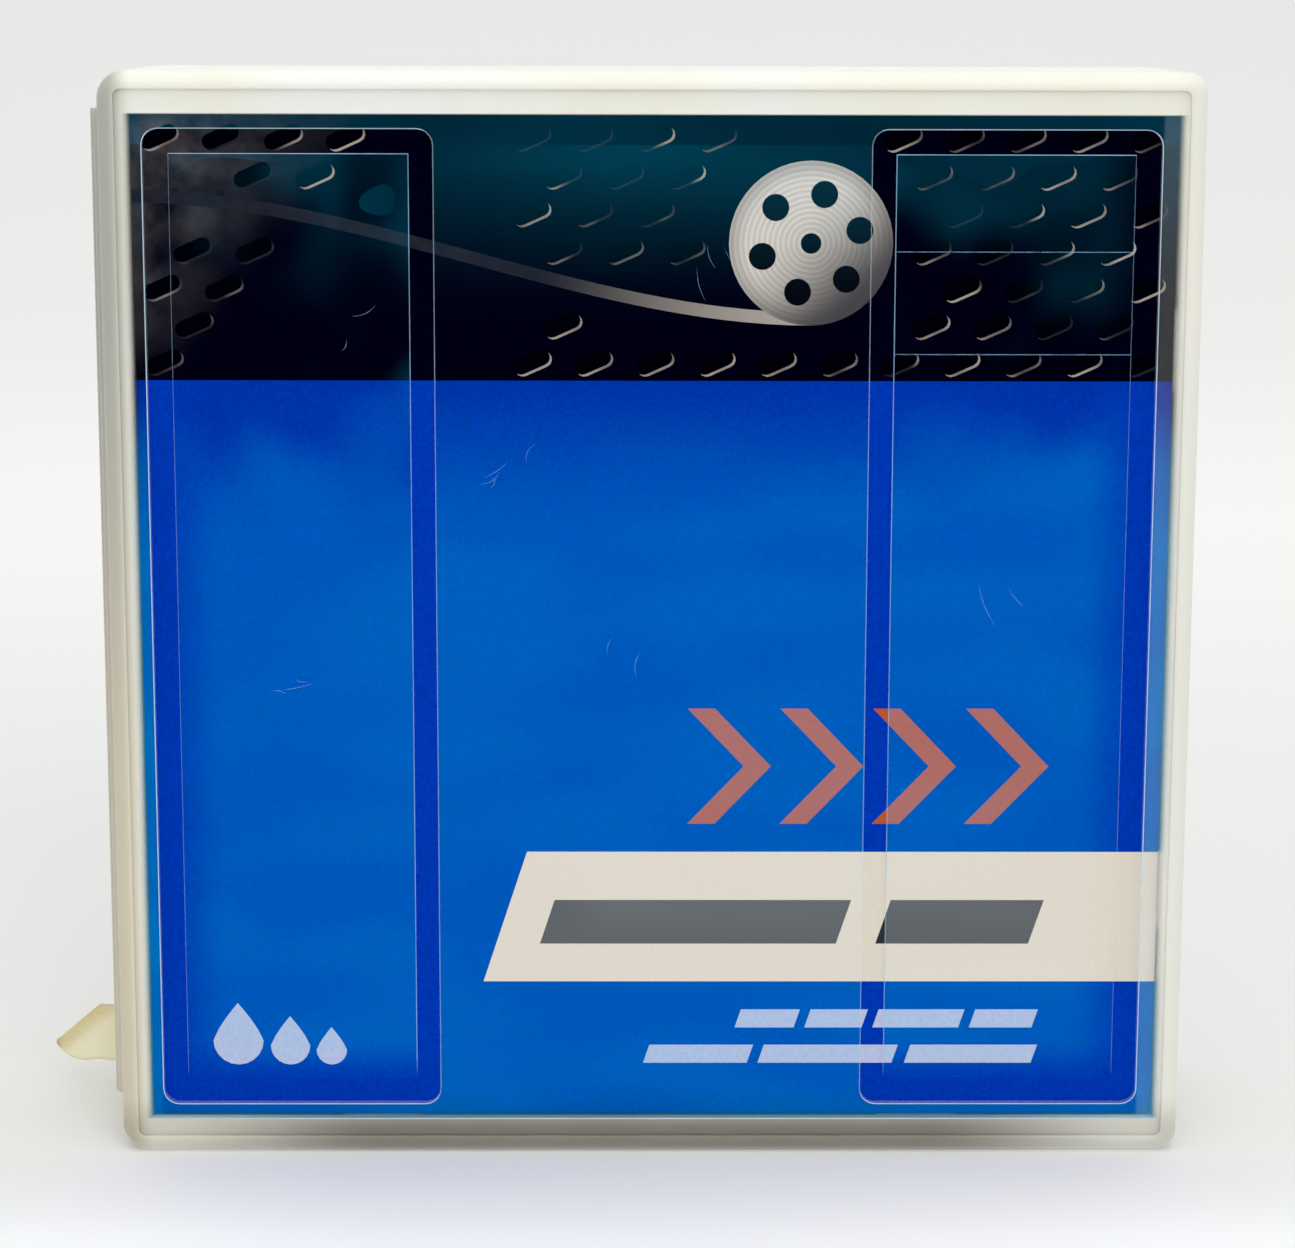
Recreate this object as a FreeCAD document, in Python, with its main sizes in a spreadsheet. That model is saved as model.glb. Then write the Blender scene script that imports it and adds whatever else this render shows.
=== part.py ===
"""Cleaning tape cartridge in its hinged storage case.

The case stands upright on its lower edge. X runs from the hinge side to the latch side, Y from the
front panel to the back, Z up. The origin is on the floor, at the middle of the case.
"""
import FreeCAD, Part
import math
import os
import re

import Sketcher

# Driving dimensions: name, millimetres (or a count), what it is
SIZES = (
    ("side_room", 4.7, "cartridge to the side walls"),
    ("seat_rib", 5.9, "cartridge to the lower wall: the rib that it stands on"),
    ("head_room", 5.9, "cartridge to the upper wall"),
    ("front_room", 2.2, "cartridge to the front panel"),
    ("seat_pad", 0.6, "cartridge to the back panel: the pad that it lies against"),
    ("cover_depth", 9.5, "front half, front rim to parting line"),
    ("parting_gap", 0.2, "gap between the closed halves"),
    ("case_wall", 1.4, "side walls of both halves"),
    ("hinge_corner", 3.0, "outer corner radius, hinge side"),
    ("latch_corner", 2.2, "outer corner radius, latch side"),
    ("rim_round", 1.6, "rounding of the front and back rims"),
    ("rim_width", 1.9, "rim beside the sunk panel"),
    ("panel_recess", 0.4, "panel face below its rim"),
    ("panel_thickness", 1.0, "front and back panels"),
    ("panel_corner", 0.8, "corner radius of the sunk panel"),
    ("window_width", 30.8, "opening in the front panel"),
    ("window_low", 5.6, "floor to the lower edge of a window"),
    ("window_top", 6.1, "upper edge of a window below the case's top"),
    ("window_inset", 4.8, "outer edge of a window from the case's side"),
    ("window_corner", 1.7, "corner radius of a window"),
    ("flap_inset", 2.6, "open slot between a window and its flap"),
    ("flap_thickness", 0.5, "clear flap behind a window"),
    ("bridge_width", 2.0, "bridge that carries a flap"),
    ("bridge_spacing", 14.0, "between the two bridges at a flap end"),
    ("bridge_lap", 1.5, "bridge behind the panel"),
    ("card_margin", 3.1, "card's sides from the case's sides"),
    ("card_low", 3.9, "floor to the card's lower edge"),
    ("card_top", 4.5, "card's upper edge below the case's top"),
    ("card_shift", 0.3, "card centre towards the latch side"),
    ("card_thickness", 0.3, "printed card"),
    ("card_clearance", 0.1, "card to flaps and to tabs"),
    ("tab_length", 9.0, "card tab along its wall"),
    ("tab_reach", 3.2, "card tab out from its wall"),
    ("tab_thickness", 1.0, "card tab"),
    ("tab_spacing", 60.0, "between the two tabs of a wall"),
    ("hinge_inset", 4.2, "ends of the hinge web, from top and bottom"),
    ("hinge_reach", 1.7, "hinge web out from the wall"),
    ("web_thickness", 0.4, "hinge web"),
    ("web_bead", 0.22, "radius of the bend line of the web"),
    ("web_gap", 0.1, "gap between bend line and cover web"),
    ("tongue_thickness", 0.7, "lip of the tray inside the cover"),
    ("tongue_height", 1.6, "lip past the parting line"),
    ("tongue_root", 3.0, "lip below the parting line"),
    ("tongue_clearance", 0.25, "lip to the cover's wall"),
    ("latch_length", 24.0, "latch bead on the lip"),
    ("latch_reach", 0.35, "latch bead out from the lip"),
    ("latch_width", 0.9, "latch bead across"),
    ("latch_clearance", 0.12, "latch bead to its groove"),
    ("thumb_length", 20.0, "finger recess below the latch"),
    ("thumb_width", 5.0, "finger recess across"),
    ("thumb_depth", 0.6, "finger recess into the wall"),
    ("rib_thickness", 1.2, "cartridge rib"),
    ("rib_spacing", 64.0, "between the two ribs of a wall"),
    ("rib_drop", 1.2, "rib end below the parting line"),
    ("seat_clearance", 0.3, "rib to cartridge"),
    ("seat_width", 8.0, "pad, each way"),
    ("seat_spacing", 84.0, "pad to pad"),
    ("remnant_low", 4.0, "floor to the torn tape"),
    ("remnant_height", 6.9, "torn tape, up"),
    ("remnant_reach", 11.0, "torn tape out from the wall"),
    ("remnant_upper", 5.5, "torn tape, upper edge"),
    ("remnant_lower", 6.6, "torn tape, lower edge"),
    ("remnant_tip", 2.2, "torn tape's tip above its lower edge"),
    ("remnant_nick", 0.9, "corner below the torn tape's tip"),
    ("remnant_hold", 7.5, "torn tape stuck to the wall"),
    ("remnant_depth", 5.0, "torn tape behind the case's middle"),
    ("remnant_thickness", 0.15, "torn tape"),
    ("cart_width", 105.8, "cartridge along X"),
    ("cart_height", 104.8, "cartridge along Z"),
    ("cart_thickness", 25.4, "cartridge along Y"),
    ("cart_split", 12.7, "lower shell, back face to seam"),
    ("seam_gap", 0.1, "seam between the shells"),
    ("cart_wall", 1.6, "shell walls"),
    ("cart_corner", 3.0, "outer corner radius of the shells"),
    ("cart_bevel", 0.8, "bevel of the outer shell edges"),
    ("screw_inset", 6.0, "screw axis from the cartridge's sides"),
    ("screw_radius", 1.1, "screw shank"),
    ("screw_length", 14.5, "screw shank"),
    ("screw_head", 2.4, "screw head radius"),
    ("head_height", 1.4, "screw head"),
    ("head_sink", 0.6, "screw head below the back face"),
    ("screw_clearance", 0.2, "screw to its hole"),
    ("boss_wall", 1.8, "wall of a screw boss"),
    ("hub_opening", 20.0, "radius of the drive opening"),
    ("flange_radius", 48.0, "reel flanges"),
    ("flange_thickness", 1.5, "reel flanges"),
    ("hub_radius", 22.5, "reel hub, where the tape winds"),
    ("hub_bore", 19.5, "reel hub, inside"),
    ("reel_gap", 0.4, "reel to the lower shell"),
    ("reel_web", 2.0, "floor of the reel hub"),
    ("web_depth", 6.5, "back face of the cartridge to the hub floor"),
    ("drive_outer", 18.5, "drive ring radius"),
    ("drive_inner", 13.0, "drive ring radius, inside"),
    ("drive_sink", 0.9, "drive ring below the back face"),
    ("drive_slots", 24, "slots in the drive ring"),
    ("slot_width", 2.0, "slot in the drive ring"),
    ("slot_depth", 1.0, "slot in the drive ring"),
    ("lock_notches", 60, "notches in the flange rim"),
    ("notch_depth", 2.0, "notch in the flange rim"),
    ("notch_mouth", 3.2, "notch at the rim"),
    ("notch_floor", 1.4, "notch at its floor"),
    ("tape_width", 12.7, "tape"),
    ("tape_clearance", 0.15, "tape to each flange"),
    ("wind_clearance", 0.05, "tape to hub"),
    ("pack_radius", 34.0, "wound tape"),
    ("leader_gap", 0.3, "leader to wound tape"),
    ("leader_thickness", 0.3, "leader film"),
    ("leader_across", 33.0, "leader end from the reel axis, X"),
    ("leader_up", 46.5, "leader end from the reel axis, Z"),
    ("leader_bead", 1.1, "rolled leader end, radius"),
    ("button_radius", 2.4, "thrust button"),
    ("button_rise", 3.0, "thrust button past the upper flange"),
    ("button_bevel", 1.2, "bevelled end of the thrust button"),
    ("button_fit", 0.05, "thrust button to hub"),
    ("spring_reach", 16.0, "reel spring, middle to end"),
    ("spring_flat", 3.2, "reel spring, flat over the button, half"),
    ("spring_width", 9.0, "reel spring"),
    ("spring_sheet", 0.3, "reel spring"),
    ("spring_gap", 0.2, "reel spring to button and to shell"),
    ("lock_pivot", 58.0, "reel axis to a lock pivot"),
    ("lock_bearing", 45.0, "lock pivots below the level of the reel axis, degrees"),
    ("lock_post", 1.9, "lock pivot post radius"),
    ("lock_hub", 3.2, "lock lever round its pivot, radius"),
    ("lock_arm", 1.6, "lock lever end, radius"),
    ("lock_tip", 0.45, "lock lever tip, radius"),
    ("lock_nose", 3.0, "lock lever tip past its arm"),
    ("lock_free", 0.9, "lock tip clear of the flange rim"),
    ("lock_bite", 1.1, "lock tip into a notch"),
    ("lock_thickness", 3.0, "lock lever"),
    ("pivot_clearance", 0.1, "levers and pins to their pivots"),
    ("lever_gap", 0.3, "levers to the shell floor"),
    ("wire_side", 0.7, "square spring wire"),
    ("wire_gap", 0.2, "spring wire to its neighbours"),
    ("lock_leg", 9.0, "legs of a lock spring"),
    ("door_left", 16.0, "door opening, hinge end, from the reel axis"),
    ("door_right", 37.0, "door opening, free end, from the reel axis"),
    ("door_low", 3.0, "door opening from the back face"),
    ("door_high", 17.2, "door opening from the back face"),
    ("door_gap", 0.3, "door to its opening"),
    ("door_plate", 1.4, "door"),
    ("door_barrel", 1.5, "door hinge barrel radius"),
    ("door_pin", 0.8, "door hinge pin radius"),
    ("door_pivot_out", 1.4, "door hinge beyond the opening's end"),
    ("door_arm", 1.0, "arm between door and barrel, end radius"),
    ("door_pivot_in", 3.8, "door hinge below the top of the cartridge"),
    ("door_leg", 8.0, "legs of the door spring"),
    ("door_lock_across", 43.0, "door lock pivot, X"),
    ("door_lock_up", 36.5, "door lock pivot, Z"),
    ("door_lock_hub", 2.6, "door lock round its pivot, radius"),
    ("door_lock_tip", 1.2, "door lock tip, radius"),
    ("door_lock_post", 1.5, "door lock post radius"),
    ("switch_up", 26.0, "write protect window centre above the reel axis"),
    ("switch_length", 5.0, "write protect thumb piece"),
    ("switch_width", 3.4, "write protect thumb piece"),
    ("switch_travel", 4.0, "write protect travel"),
    ("switch_depth", 6.5, "write protect centre from the back face"),
    ("switch_sink", 0.3, "thumb piece below the wall"),
    ("switch_flange", 1.4, "slider beyond the window"),
    ("switch_plate", 1.2, "slider plate"),
    ("switch_clearance", 0.2, "slider to wall and window"),
    ("nail_groove", 0.5, "groove in the thumb piece"),
    ("label_length", 58.0, "label recess on the cartridge's edge"),
    ("label_width", 17.0, "label recess on the cartridge's edge"),
    ("label_depth", 0.4, "label recess"),
    ("label_up", -18.0, "label recess centre above the reel axis"),
    ("grip_count", 6, "grip grooves on the upper shell"),
    ("grip_pitch", 2.6, "grip grooves"),
    ("grip_width", 1.2, "grip groove"),
    ("grip_depth", 0.5, "grip groove"),
    ("grip_length", 64.0, "grip groove"),
    ("grip_inset", 6.0, "first grip groove from the cartridge's edge"),
)

# The case goes round the cartridge, and the windows and the card keep to the case
CASE_WIDTH = "(cart_width + 2*side_room + 2*case_wall)"
CASE_HEIGHT = "(cart_height + seat_rib + head_room + 2*case_wall)"
CASE_DEPTH = "(cart_thickness + front_room + seat_pad + 2*panel_recess + 2*panel_thickness)"
WINDOW_MIDDLE = f"({CASE_WIDTH}/2 - window_inset - window_width/2)"
WINDOW_HIGH = f"({CASE_HEIGHT} - window_top)"
CARD_SIDE = f"({CASE_WIDTH}/2 - card_margin)"
CARD_HIGH = f"({CASE_HEIGHT} - card_top)"

# Planes of the case, along Y
FRONT = f"(-{CASE_DEPTH}/2)"
BACK = f"({CASE_DEPTH}/2)"
PARTING = f"(cover_depth - {CASE_DEPTH}/2)"
COVER_EDGE = f"({PARTING} - parting_gap/2)"
TRAY_EDGE = f"({PARTING} + parting_gap/2)"
COVER_FLOOR = f"({FRONT} + panel_recess + panel_thickness)"
TRAY_FLOOR = f"({BACK} - panel_recess - panel_thickness)"
CARD_FRONT = f"({COVER_FLOOR} + flap_thickness + card_clearance)"
CARD_BACK = f"({CARD_FRONT} + card_thickness)"

# Place of the cartridge in the case
CART_BACK = f"({TRAY_FLOOR} - seat_pad)"
CART_LOW = "(case_wall + seat_rib)"
CART_MIDDLE = f"({CART_LOW} + cart_height/2)"

# Planes of the cartridge, along Y from its back face
SEAM = "(-cart_split)"
LOWER_FLOOR = "(-cart_wall)"
UPPER_FLOOR = "(cart_wall - cart_thickness)"
FLANGE_BACK = f"({LOWER_FLOOR} - reel_gap)"
FLANGE_FRONT = f"({FLANGE_BACK} - flange_thickness)"
HUB_FRONT = f"({FLANGE_FRONT} - tape_width - 2*tape_clearance)"
REEL_FRONT = f"({HUB_FRONT} - flange_thickness)"
BUTTON_FRONT = f"({REEL_FRONT} - button_rise)"
LEVER_BACK = f"({LOWER_FLOOR} - lever_gap)"
LEVER_FRONT = f"({LEVER_BACK} - lock_thickness)"

# Reel locks: lever length from pivot to tip, which bites midway between two notches from the pivot's
# bearing, and the tip's angle from the pivot when swung clear
BITE_RADIUS = "(flange_radius - lock_bite + lock_tip)"
FREE_RADIUS = "(flange_radius + lock_free + lock_tip)"
BITE_ANGLE = "(1.5*360/lock_notches)"
LOCK_LENGTH = f"sqrt(lock_pivot^2 + {BITE_RADIUS}^2 - 2*lock_pivot*{BITE_RADIUS}*cos({BITE_ANGLE}))"
FREE_ANGLE = f"acos((lock_pivot^2 + {FREE_RADIUS}^2 - {LOCK_LENGTH}^2)/(2*lock_pivot*{FREE_RADIUS}))"

# Door hinge, from the reel axis
DOOR_HINGE = ("(door_left - door_pivot_out)", "(cart_height/2 - door_pivot_in)")

# Depth within which a face counts as flat and in place
FLAT = 1e-6

NAMES = re.compile(r"\b(" + "|".join(name for name, _, _ in SIZES) + r")\b")

document = FreeCAD.newDocument("cased_tape_cartridge")
sheet = document.addObject("Spreadsheet::Sheet", "sizes")
for row, (name, size, meaning) in enumerate(SIZES, start=1):
    sheet.set(f"A{row}", name)
    sheet.set(f"B{row}", str(size))
    sheet.set(f"C{row}", meaning)
    sheet.setAlias(f"B{row}", name)
document.recompute()


def formula(text):
    """Turn a formula in plain names into one that reads the sheet's cells."""
    return NAMES.sub(lambda found: "sizes." + found.group(0), text)


def measure(text):
    """Work out a formula."""
    return float(sheet.evalExpression(formula(text)))


def bind(item, field, text):
    """Tie a field of a document object to a formula."""
    item.setExpression(field, formula(text))


def new_body(label, place=("0", "0", "0")):
    """Start a piece that is moulded or cut as one solid."""
    body = document.addObject("PartDesign::Body", label)
    body.Label = label
    for axis, text in zip("xyz", place):
        bind(body, f"Placement.Base.{axis}", text)
    return body


def cartridge_body(label):
    """Start a piece in the cartridge's own frame: reel axis at the origin, back face at Y zero."""
    return new_body(label, ("0", CART_BACK, CART_MIDDLE))


def new_sketch(body, plane, offset):
    """Add a sketch on a plane of the body, moved along the plane's normal."""
    sketch = body.newObject("Sketcher::SketchObject", f"{body.Name}_sketch")
    support = next(item for item in body.Origin.OriginFeatures if item.Role == plane)
    sketch.AttachmentSupport = [(support, "")]
    sketch.MapMode = "FlatFace"
    bind(sketch, "AttachmentOffset.Base.z", offset)
    return sketch


def face_sketch(body, depth):
    """Add a sketch that is seen from the front, at a depth along Y."""
    return new_sketch(body, "XZ_Plane", f"-({depth})")


def level_sketch(body, height):
    """Add a sketch that is seen from above, at a height along Z."""
    return new_sketch(body, "XY_Plane", height)


def side_sketch(body, across):
    """Add a sketch that is seen from the latch side, at a place along X."""
    return new_sketch(body, "YZ_Plane", across)


def dimension(sketch, kind, target, text):
    """Add one dimension to a sketch and tie it to a formula."""
    index = sketch.addConstraint(Sketcher.Constraint(kind, *target, measure(text)))
    bind(sketch, f"Constraints[{index}]", text)


def pin_point(sketch, target, across, up):
    """Fix a point of a sketch by its two coordinates."""
    dimension(sketch, "DistanceX", target, across)
    dimension(sketch, "DistanceY", target, up)


def draw_circle(sketch, across, up, radius):
    """Draw a circle."""
    centre = FreeCAD.Vector(measure(across), measure(up), 0)
    index = sketch.addGeometry(Part.Circle(centre, FreeCAD.Vector(0, 0, 1), measure(radius)))
    pin_point(sketch, (index, 3), across, up)
    dimension(sketch, "Radius", (index,), radius)


def draw_outline(sketch, corners, arcs=None):
    """Draw a closed outline through corners; arcs maps a side's number to its radius and turn.

    A side is an arc that turns left (1) or right (-1) on its way to the next corner.
    """
    arcs = arcs or {}
    points = [FreeCAD.Vector(measure(across), measure(up), 0) for across, up in corners]
    sides = []
    for side, (start, end) in enumerate(zip(points, points[1:] + points[:1])):
        if side not in arcs:
            sides.append((sketch.addGeometry(Part.LineSegment(start, end)), 1, 2))
            continue
        radius, turn = measure(arcs[side][0]), arcs[side][1]
        chord = end - start
        rise = math.sqrt(radius ** 2 - chord.Length ** 2 / 4)
        centre = (start + end) / 2 + FreeCAD.Vector(-chord.y, chord.x, 0).normalize() * rise * turn
        circle = Part.Circle(centre, FreeCAD.Vector(0, 0, 1), radius)
        ends = (start, end) if turn > 0 else (end, start)
        angles = [circle.parameter(point) for point in ends]
        index = sketch.addGeometry(Part.ArcOfCircle(circle, *angles))
        sides.append((index, 1, 2) if turn > 0 else (index, 2, 1))
    for before, after in zip(sides, sides[1:] + sides[:1]):
        sketch.addConstraint(Sketcher.Constraint("Coincident", before[0], before[2], after[0], after[1]))
    for (index, first, _), (across, up) in zip(sides, corners):
        pin_point(sketch, (index, first), across, up)
    for side, (radius, _) in arcs.items():
        dimension(sketch, "Radius", (sides[side][0],), radius)


def draw_rectangle(sketch, left, right, low, high):
    """Draw a rectangle with sharp corners."""
    draw_outline(sketch, [(left, low), (right, low), (right, high), (left, high)])


def draw_belt(sketch, circles):
    """Draw a closed outline that runs round circles as a belt round pulleys, counter-clockwise."""
    values = [tuple(measure(text) for text in circle) for circle in circles]
    normals = []
    for (x0, y0, r0), (x1, y1, r1) in zip(values, values[1:] + values[:1]):
        lean = math.asin((r0 - r1) / math.hypot(x1 - x0, y1 - y0))
        normals.append(math.atan2(y1 - y0, x1 - x0) - math.pi / 2 + lean)
    arcs = []
    for (across, up, radius), start, end in zip(values, normals[-1:] + normals[:-1], normals):
        circle = Part.Circle(FreeCAD.Vector(across, up, 0), FreeCAD.Vector(0, 0, 1), radius)
        sweep = (end - start) % (2 * math.pi)
        arcs.append(sketch.addGeometry(Part.ArcOfCircle(circle, start, start + sweep)))
    for before, after in zip(arcs, arcs[1:] + arcs[:1]):
        ends = (sketch.Geometry[before].EndPoint, sketch.Geometry[after].StartPoint)
        line = sketch.addGeometry(Part.LineSegment(*ends))
        sketch.addConstraint(Sketcher.Constraint("Tangent", before, 2, line, 1))
        sketch.addConstraint(Sketcher.Constraint("Tangent", line, 2, after, 1))
    for index, (across, up, radius) in zip(arcs, circles):
        pin_point(sketch, (index, 3), across, up)
        dimension(sketch, "Radius", (index,), radius)


def draw_round_rectangle(sketch, left, right, low, high, radius, right_radius=None):
    """Draw a rectangle with rounded corners, which may differ from left to right."""
    right_radius = right_radius or radius
    draw_belt(sketch, [
        (f"({left}) + {radius}", f"({low}) + {radius}", radius),
        (f"({right}) - {right_radius}", f"({low}) + {right_radius}", right_radius),
        (f"({right}) - {right_radius}", f"({high}) - {right_radius}", right_radius),
        (f"({left}) + {radius}", f"({high}) - {radius}", radius),
    ])


def extrude(body, kind, sketch, length, backwards):
    """Add a straight feature, along the sketch's normal or against it."""
    feature = body.newObject(f"PartDesign::{kind}", f"{body.Name}_{kind.lower()}")
    feature.Profile = sketch
    feature.Reversed = backwards
    bind(feature, "Length", length)
    sketch.Visibility = False
    return feature


def add(body, sketch, length, backwards=False):
    """Add material along the sketch's normal; from the front view that is towards the front."""
    return extrude(body, "Pad", sketch, length, backwards)


def remove(body, sketch, length, forwards=False):
    """Take material away against the sketch's normal; from the front view that is towards the back."""
    document.recompute()
    before = body.Shape.Volume
    feature = extrude(body, "Pocket", sketch, length, forwards)
    document.recompute()
    if not body.Shape.Volume < before:
        raise RuntimeError(f"a cut in {body.Label} takes nothing away")
    return feature


def repeat_round(body, feature, count):
    """Repeat a feature evenly round the body's Y axis."""
    pattern = body.newObject("PartDesign::PolarPattern", f"{body.Name}_ring")
    axis = next(item for item in body.Origin.OriginFeatures if item.Role == "Y_Axis")
    pattern.Originals = [feature]
    pattern.Axis = (axis, [""])
    pattern.Angle = 360
    bind(pattern, "Occurrences", count)
    body.Tip = pattern


def revolve(body, sketch):
    """Turn a profile once round the body's Y axis."""
    feature = body.newObject("PartDesign::Revolution", f"{body.Name}_turn")
    feature.Profile = sketch
    feature.ReferenceAxis = (sketch, ["V_Axis"])
    feature.Angle = 360
    return feature


def dress_face(body, feature, kind, depth, size):
    """Round (Fillet) or bevel (Chamfer) the edges of a feature's flat face at a depth along Y."""
    document.recompute()
    names = []
    for number, face in enumerate(feature.Shape.Faces, start=1):
        box = face.BoundBox
        if box.YLength < FLAT and abs(box.YMin - measure(depth)) < FLAT:
            names.append(f"Face{number}")
    dressing = body.newObject(f"PartDesign::{kind}", f"{body.Name}_{kind.lower()}")
    dressing.Base = (feature, names)
    bind(dressing, "Radius" if kind == "Fillet" else "Size", size)


def case_block(body, edge, outer, length, backwards):
    """Make the outer block of one half of the case, with its rim rounded."""
    sketch = face_sketch(body, edge)
    draw_round_rectangle(sketch, f"-{CASE_WIDTH}/2", f"{CASE_WIDTH}/2", "0", CASE_HEIGHT,
                         "hinge_corner", "latch_corner")
    block = add(body, sketch, length, backwards)
    dress_face(body, block, "Fillet", outer, "rim_round")


def draw_inset(sketch, inset, radius=None):
    """Draw the case's outline moved in from its sides, with sharp or rounded corners."""
    sides = (f"-{CASE_WIDTH}/2 + ({inset})", f"{CASE_WIDTH}/2 - ({inset})")
    levels = (inset, f"{CASE_HEIGHT} - ({inset})")
    if radius:
        draw_round_rectangle(sketch, *sides, *levels, radius)
    else:
        draw_rectangle(sketch, *sides, *levels)


def web_outline(sketch, side, tip):
    """Draw one half of the hinge web: a quarter round from the wall out to the bend line.

    side is 1 for the tray and -1 for the cover; tip is the web's end, short of the parting line.
    """
    middle = f"-{CASE_WIDTH}/2"
    inner = "(hinge_reach - web_thickness)"
    root = f"{middle} + case_wall/2"
    outer_tip = (f"{middle} - sqrt(hinge_reach^2 - ({tip})^2)", f"{PARTING} + {side}*({tip})")
    inner_tip = (f"{middle} - sqrt({inner}^2 - ({tip})^2)", f"{PARTING} + {side}*({tip})")
    corners = [
        outer_tip,
        inner_tip,
        (middle, f"{PARTING} + {side}*{inner}"),
        (root, f"{PARTING} + {side}*{inner}"),
        (root, f"{PARTING} + {side}*hinge_reach"),
        (middle, f"{PARTING} + {side}*hinge_reach"),
    ]
    draw_outline(sketch, corners, {1: (inner, -side), 5: ("hinge_reach", side)})


def flap_outline(middle):
    """Outline of a window's flap, with two bridges at its lower end and two at its upper end."""
    half = "(window_width/2 - flap_inset)"
    low = "window_low + flap_inset"
    high = f"{WINDOW_HIGH} - flap_inset"
    low_end = "window_low - bridge_lap"
    high_end = f"{WINDOW_HIGH} + bridge_lap"
    corners = [(f"{middle} - {half}", low)]
    for sign in ("-", "+"):
        left = f"{middle} {sign} bridge_spacing/2 - bridge_width/2"
        right = f"{middle} {sign} bridge_spacing/2 + bridge_width/2"
        corners += [(left, low), (left, low_end), (right, low_end), (right, low)]
    corners += [(f"{middle} + {half}", low), (f"{middle} + {half}", high)]
    for sign in ("+", "-"):
        left = f"{middle} {sign} bridge_spacing/2 - bridge_width/2"
        right = f"{middle} {sign} bridge_spacing/2 + bridge_width/2"
        corners += [(right, high), (right, high_end), (left, high_end), (left, high)]
    corners.append((f"{middle} - {half}", high))
    return corners


def latch_outline(sketch, spare):
    """Draw the section of the latch bead on the lip, or of its groove with some spare room."""
    face = f"{CASE_WIDTH}/2 - case_wall - tongue_clearance"
    middle = f"{PARTING} - tongue_height/2"
    half = f"(latch_width/2 + {spare})"
    draw_outline(sketch, [
        (f"{face} - tongue_thickness/2", f"{middle} - {half}"),
        (face, f"{middle} - {half}"),
        (f"{face} + latch_reach + {spare}", middle),
        (face, f"{middle} + {half}"),
        (f"{face} - tongue_thickness/2", f"{middle} + {half}"),
    ])


def case_cover():
    """Front half of the case: panel with two windows and flaps, card tabs, half of the hinge web."""
    body = new_body("case_cover")
    case_block(body, COVER_EDGE, FRONT, "cover_depth - parting_gap/2", False)

    cavity = face_sketch(body, COVER_EDGE)
    draw_inset(cavity, "case_wall")
    remove(body, cavity, f"{COVER_EDGE} - {COVER_FLOOR}", forwards=True)

    panel = face_sketch(body, FRONT)
    draw_inset(panel, "rim_width", "panel_corner")
    remove(body, panel, "panel_recess")

    windows = face_sketch(body, FRONT)
    flaps = face_sketch(body, COVER_FLOOR)
    for middle in (f"-{WINDOW_MIDDLE}", WINDOW_MIDDLE):
        draw_round_rectangle(windows, f"{middle} - window_width/2", f"{middle} + window_width/2",
                             "window_low", WINDOW_HIGH, "window_corner")
        draw_outline(flaps, flap_outline(middle))
    remove(body, windows, "panel_recess + panel_thickness")
    add(body, flaps, "flap_thickness", backwards=True)

    tabs = face_sketch(body, f"{CARD_BACK} + card_clearance")
    wall = "case_wall"
    for sign in ("-", "+"):
        left = f"{sign} tab_spacing/2 - tab_length/2"
        right = f"{sign} tab_spacing/2 + tab_length/2"
        draw_rectangle(tabs, left, right, f"{wall}/2", f"{wall} + tab_reach")
        draw_rectangle(tabs, left, right, f"{CASE_HEIGHT} - {wall} - tab_reach",
                       f"{CASE_HEIGHT} - {wall}/2")
        draw_rectangle(tabs, f"{CASE_WIDTH}/2 - {wall} - tab_reach", f"{CASE_WIDTH}/2 - {wall}/2",
                       f"{CASE_HEIGHT}/2 + {left}", f"{CASE_HEIGHT}/2 + {right}")
    add(body, tabs, "tab_thickness", backwards=True)

    web = level_sketch(body, "hinge_inset")
    web_outline(web, -1, "web_bead + web_gap")
    add(body, web, f"{CASE_HEIGHT} - 2*hinge_inset")

    groove = level_sketch(body, f"{CASE_HEIGHT}/2 - latch_length/2 - latch_clearance")
    latch_outline(groove, "latch_clearance")
    remove(body, groove, "latch_length + 2*latch_clearance", forwards=True)
    return body


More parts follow.
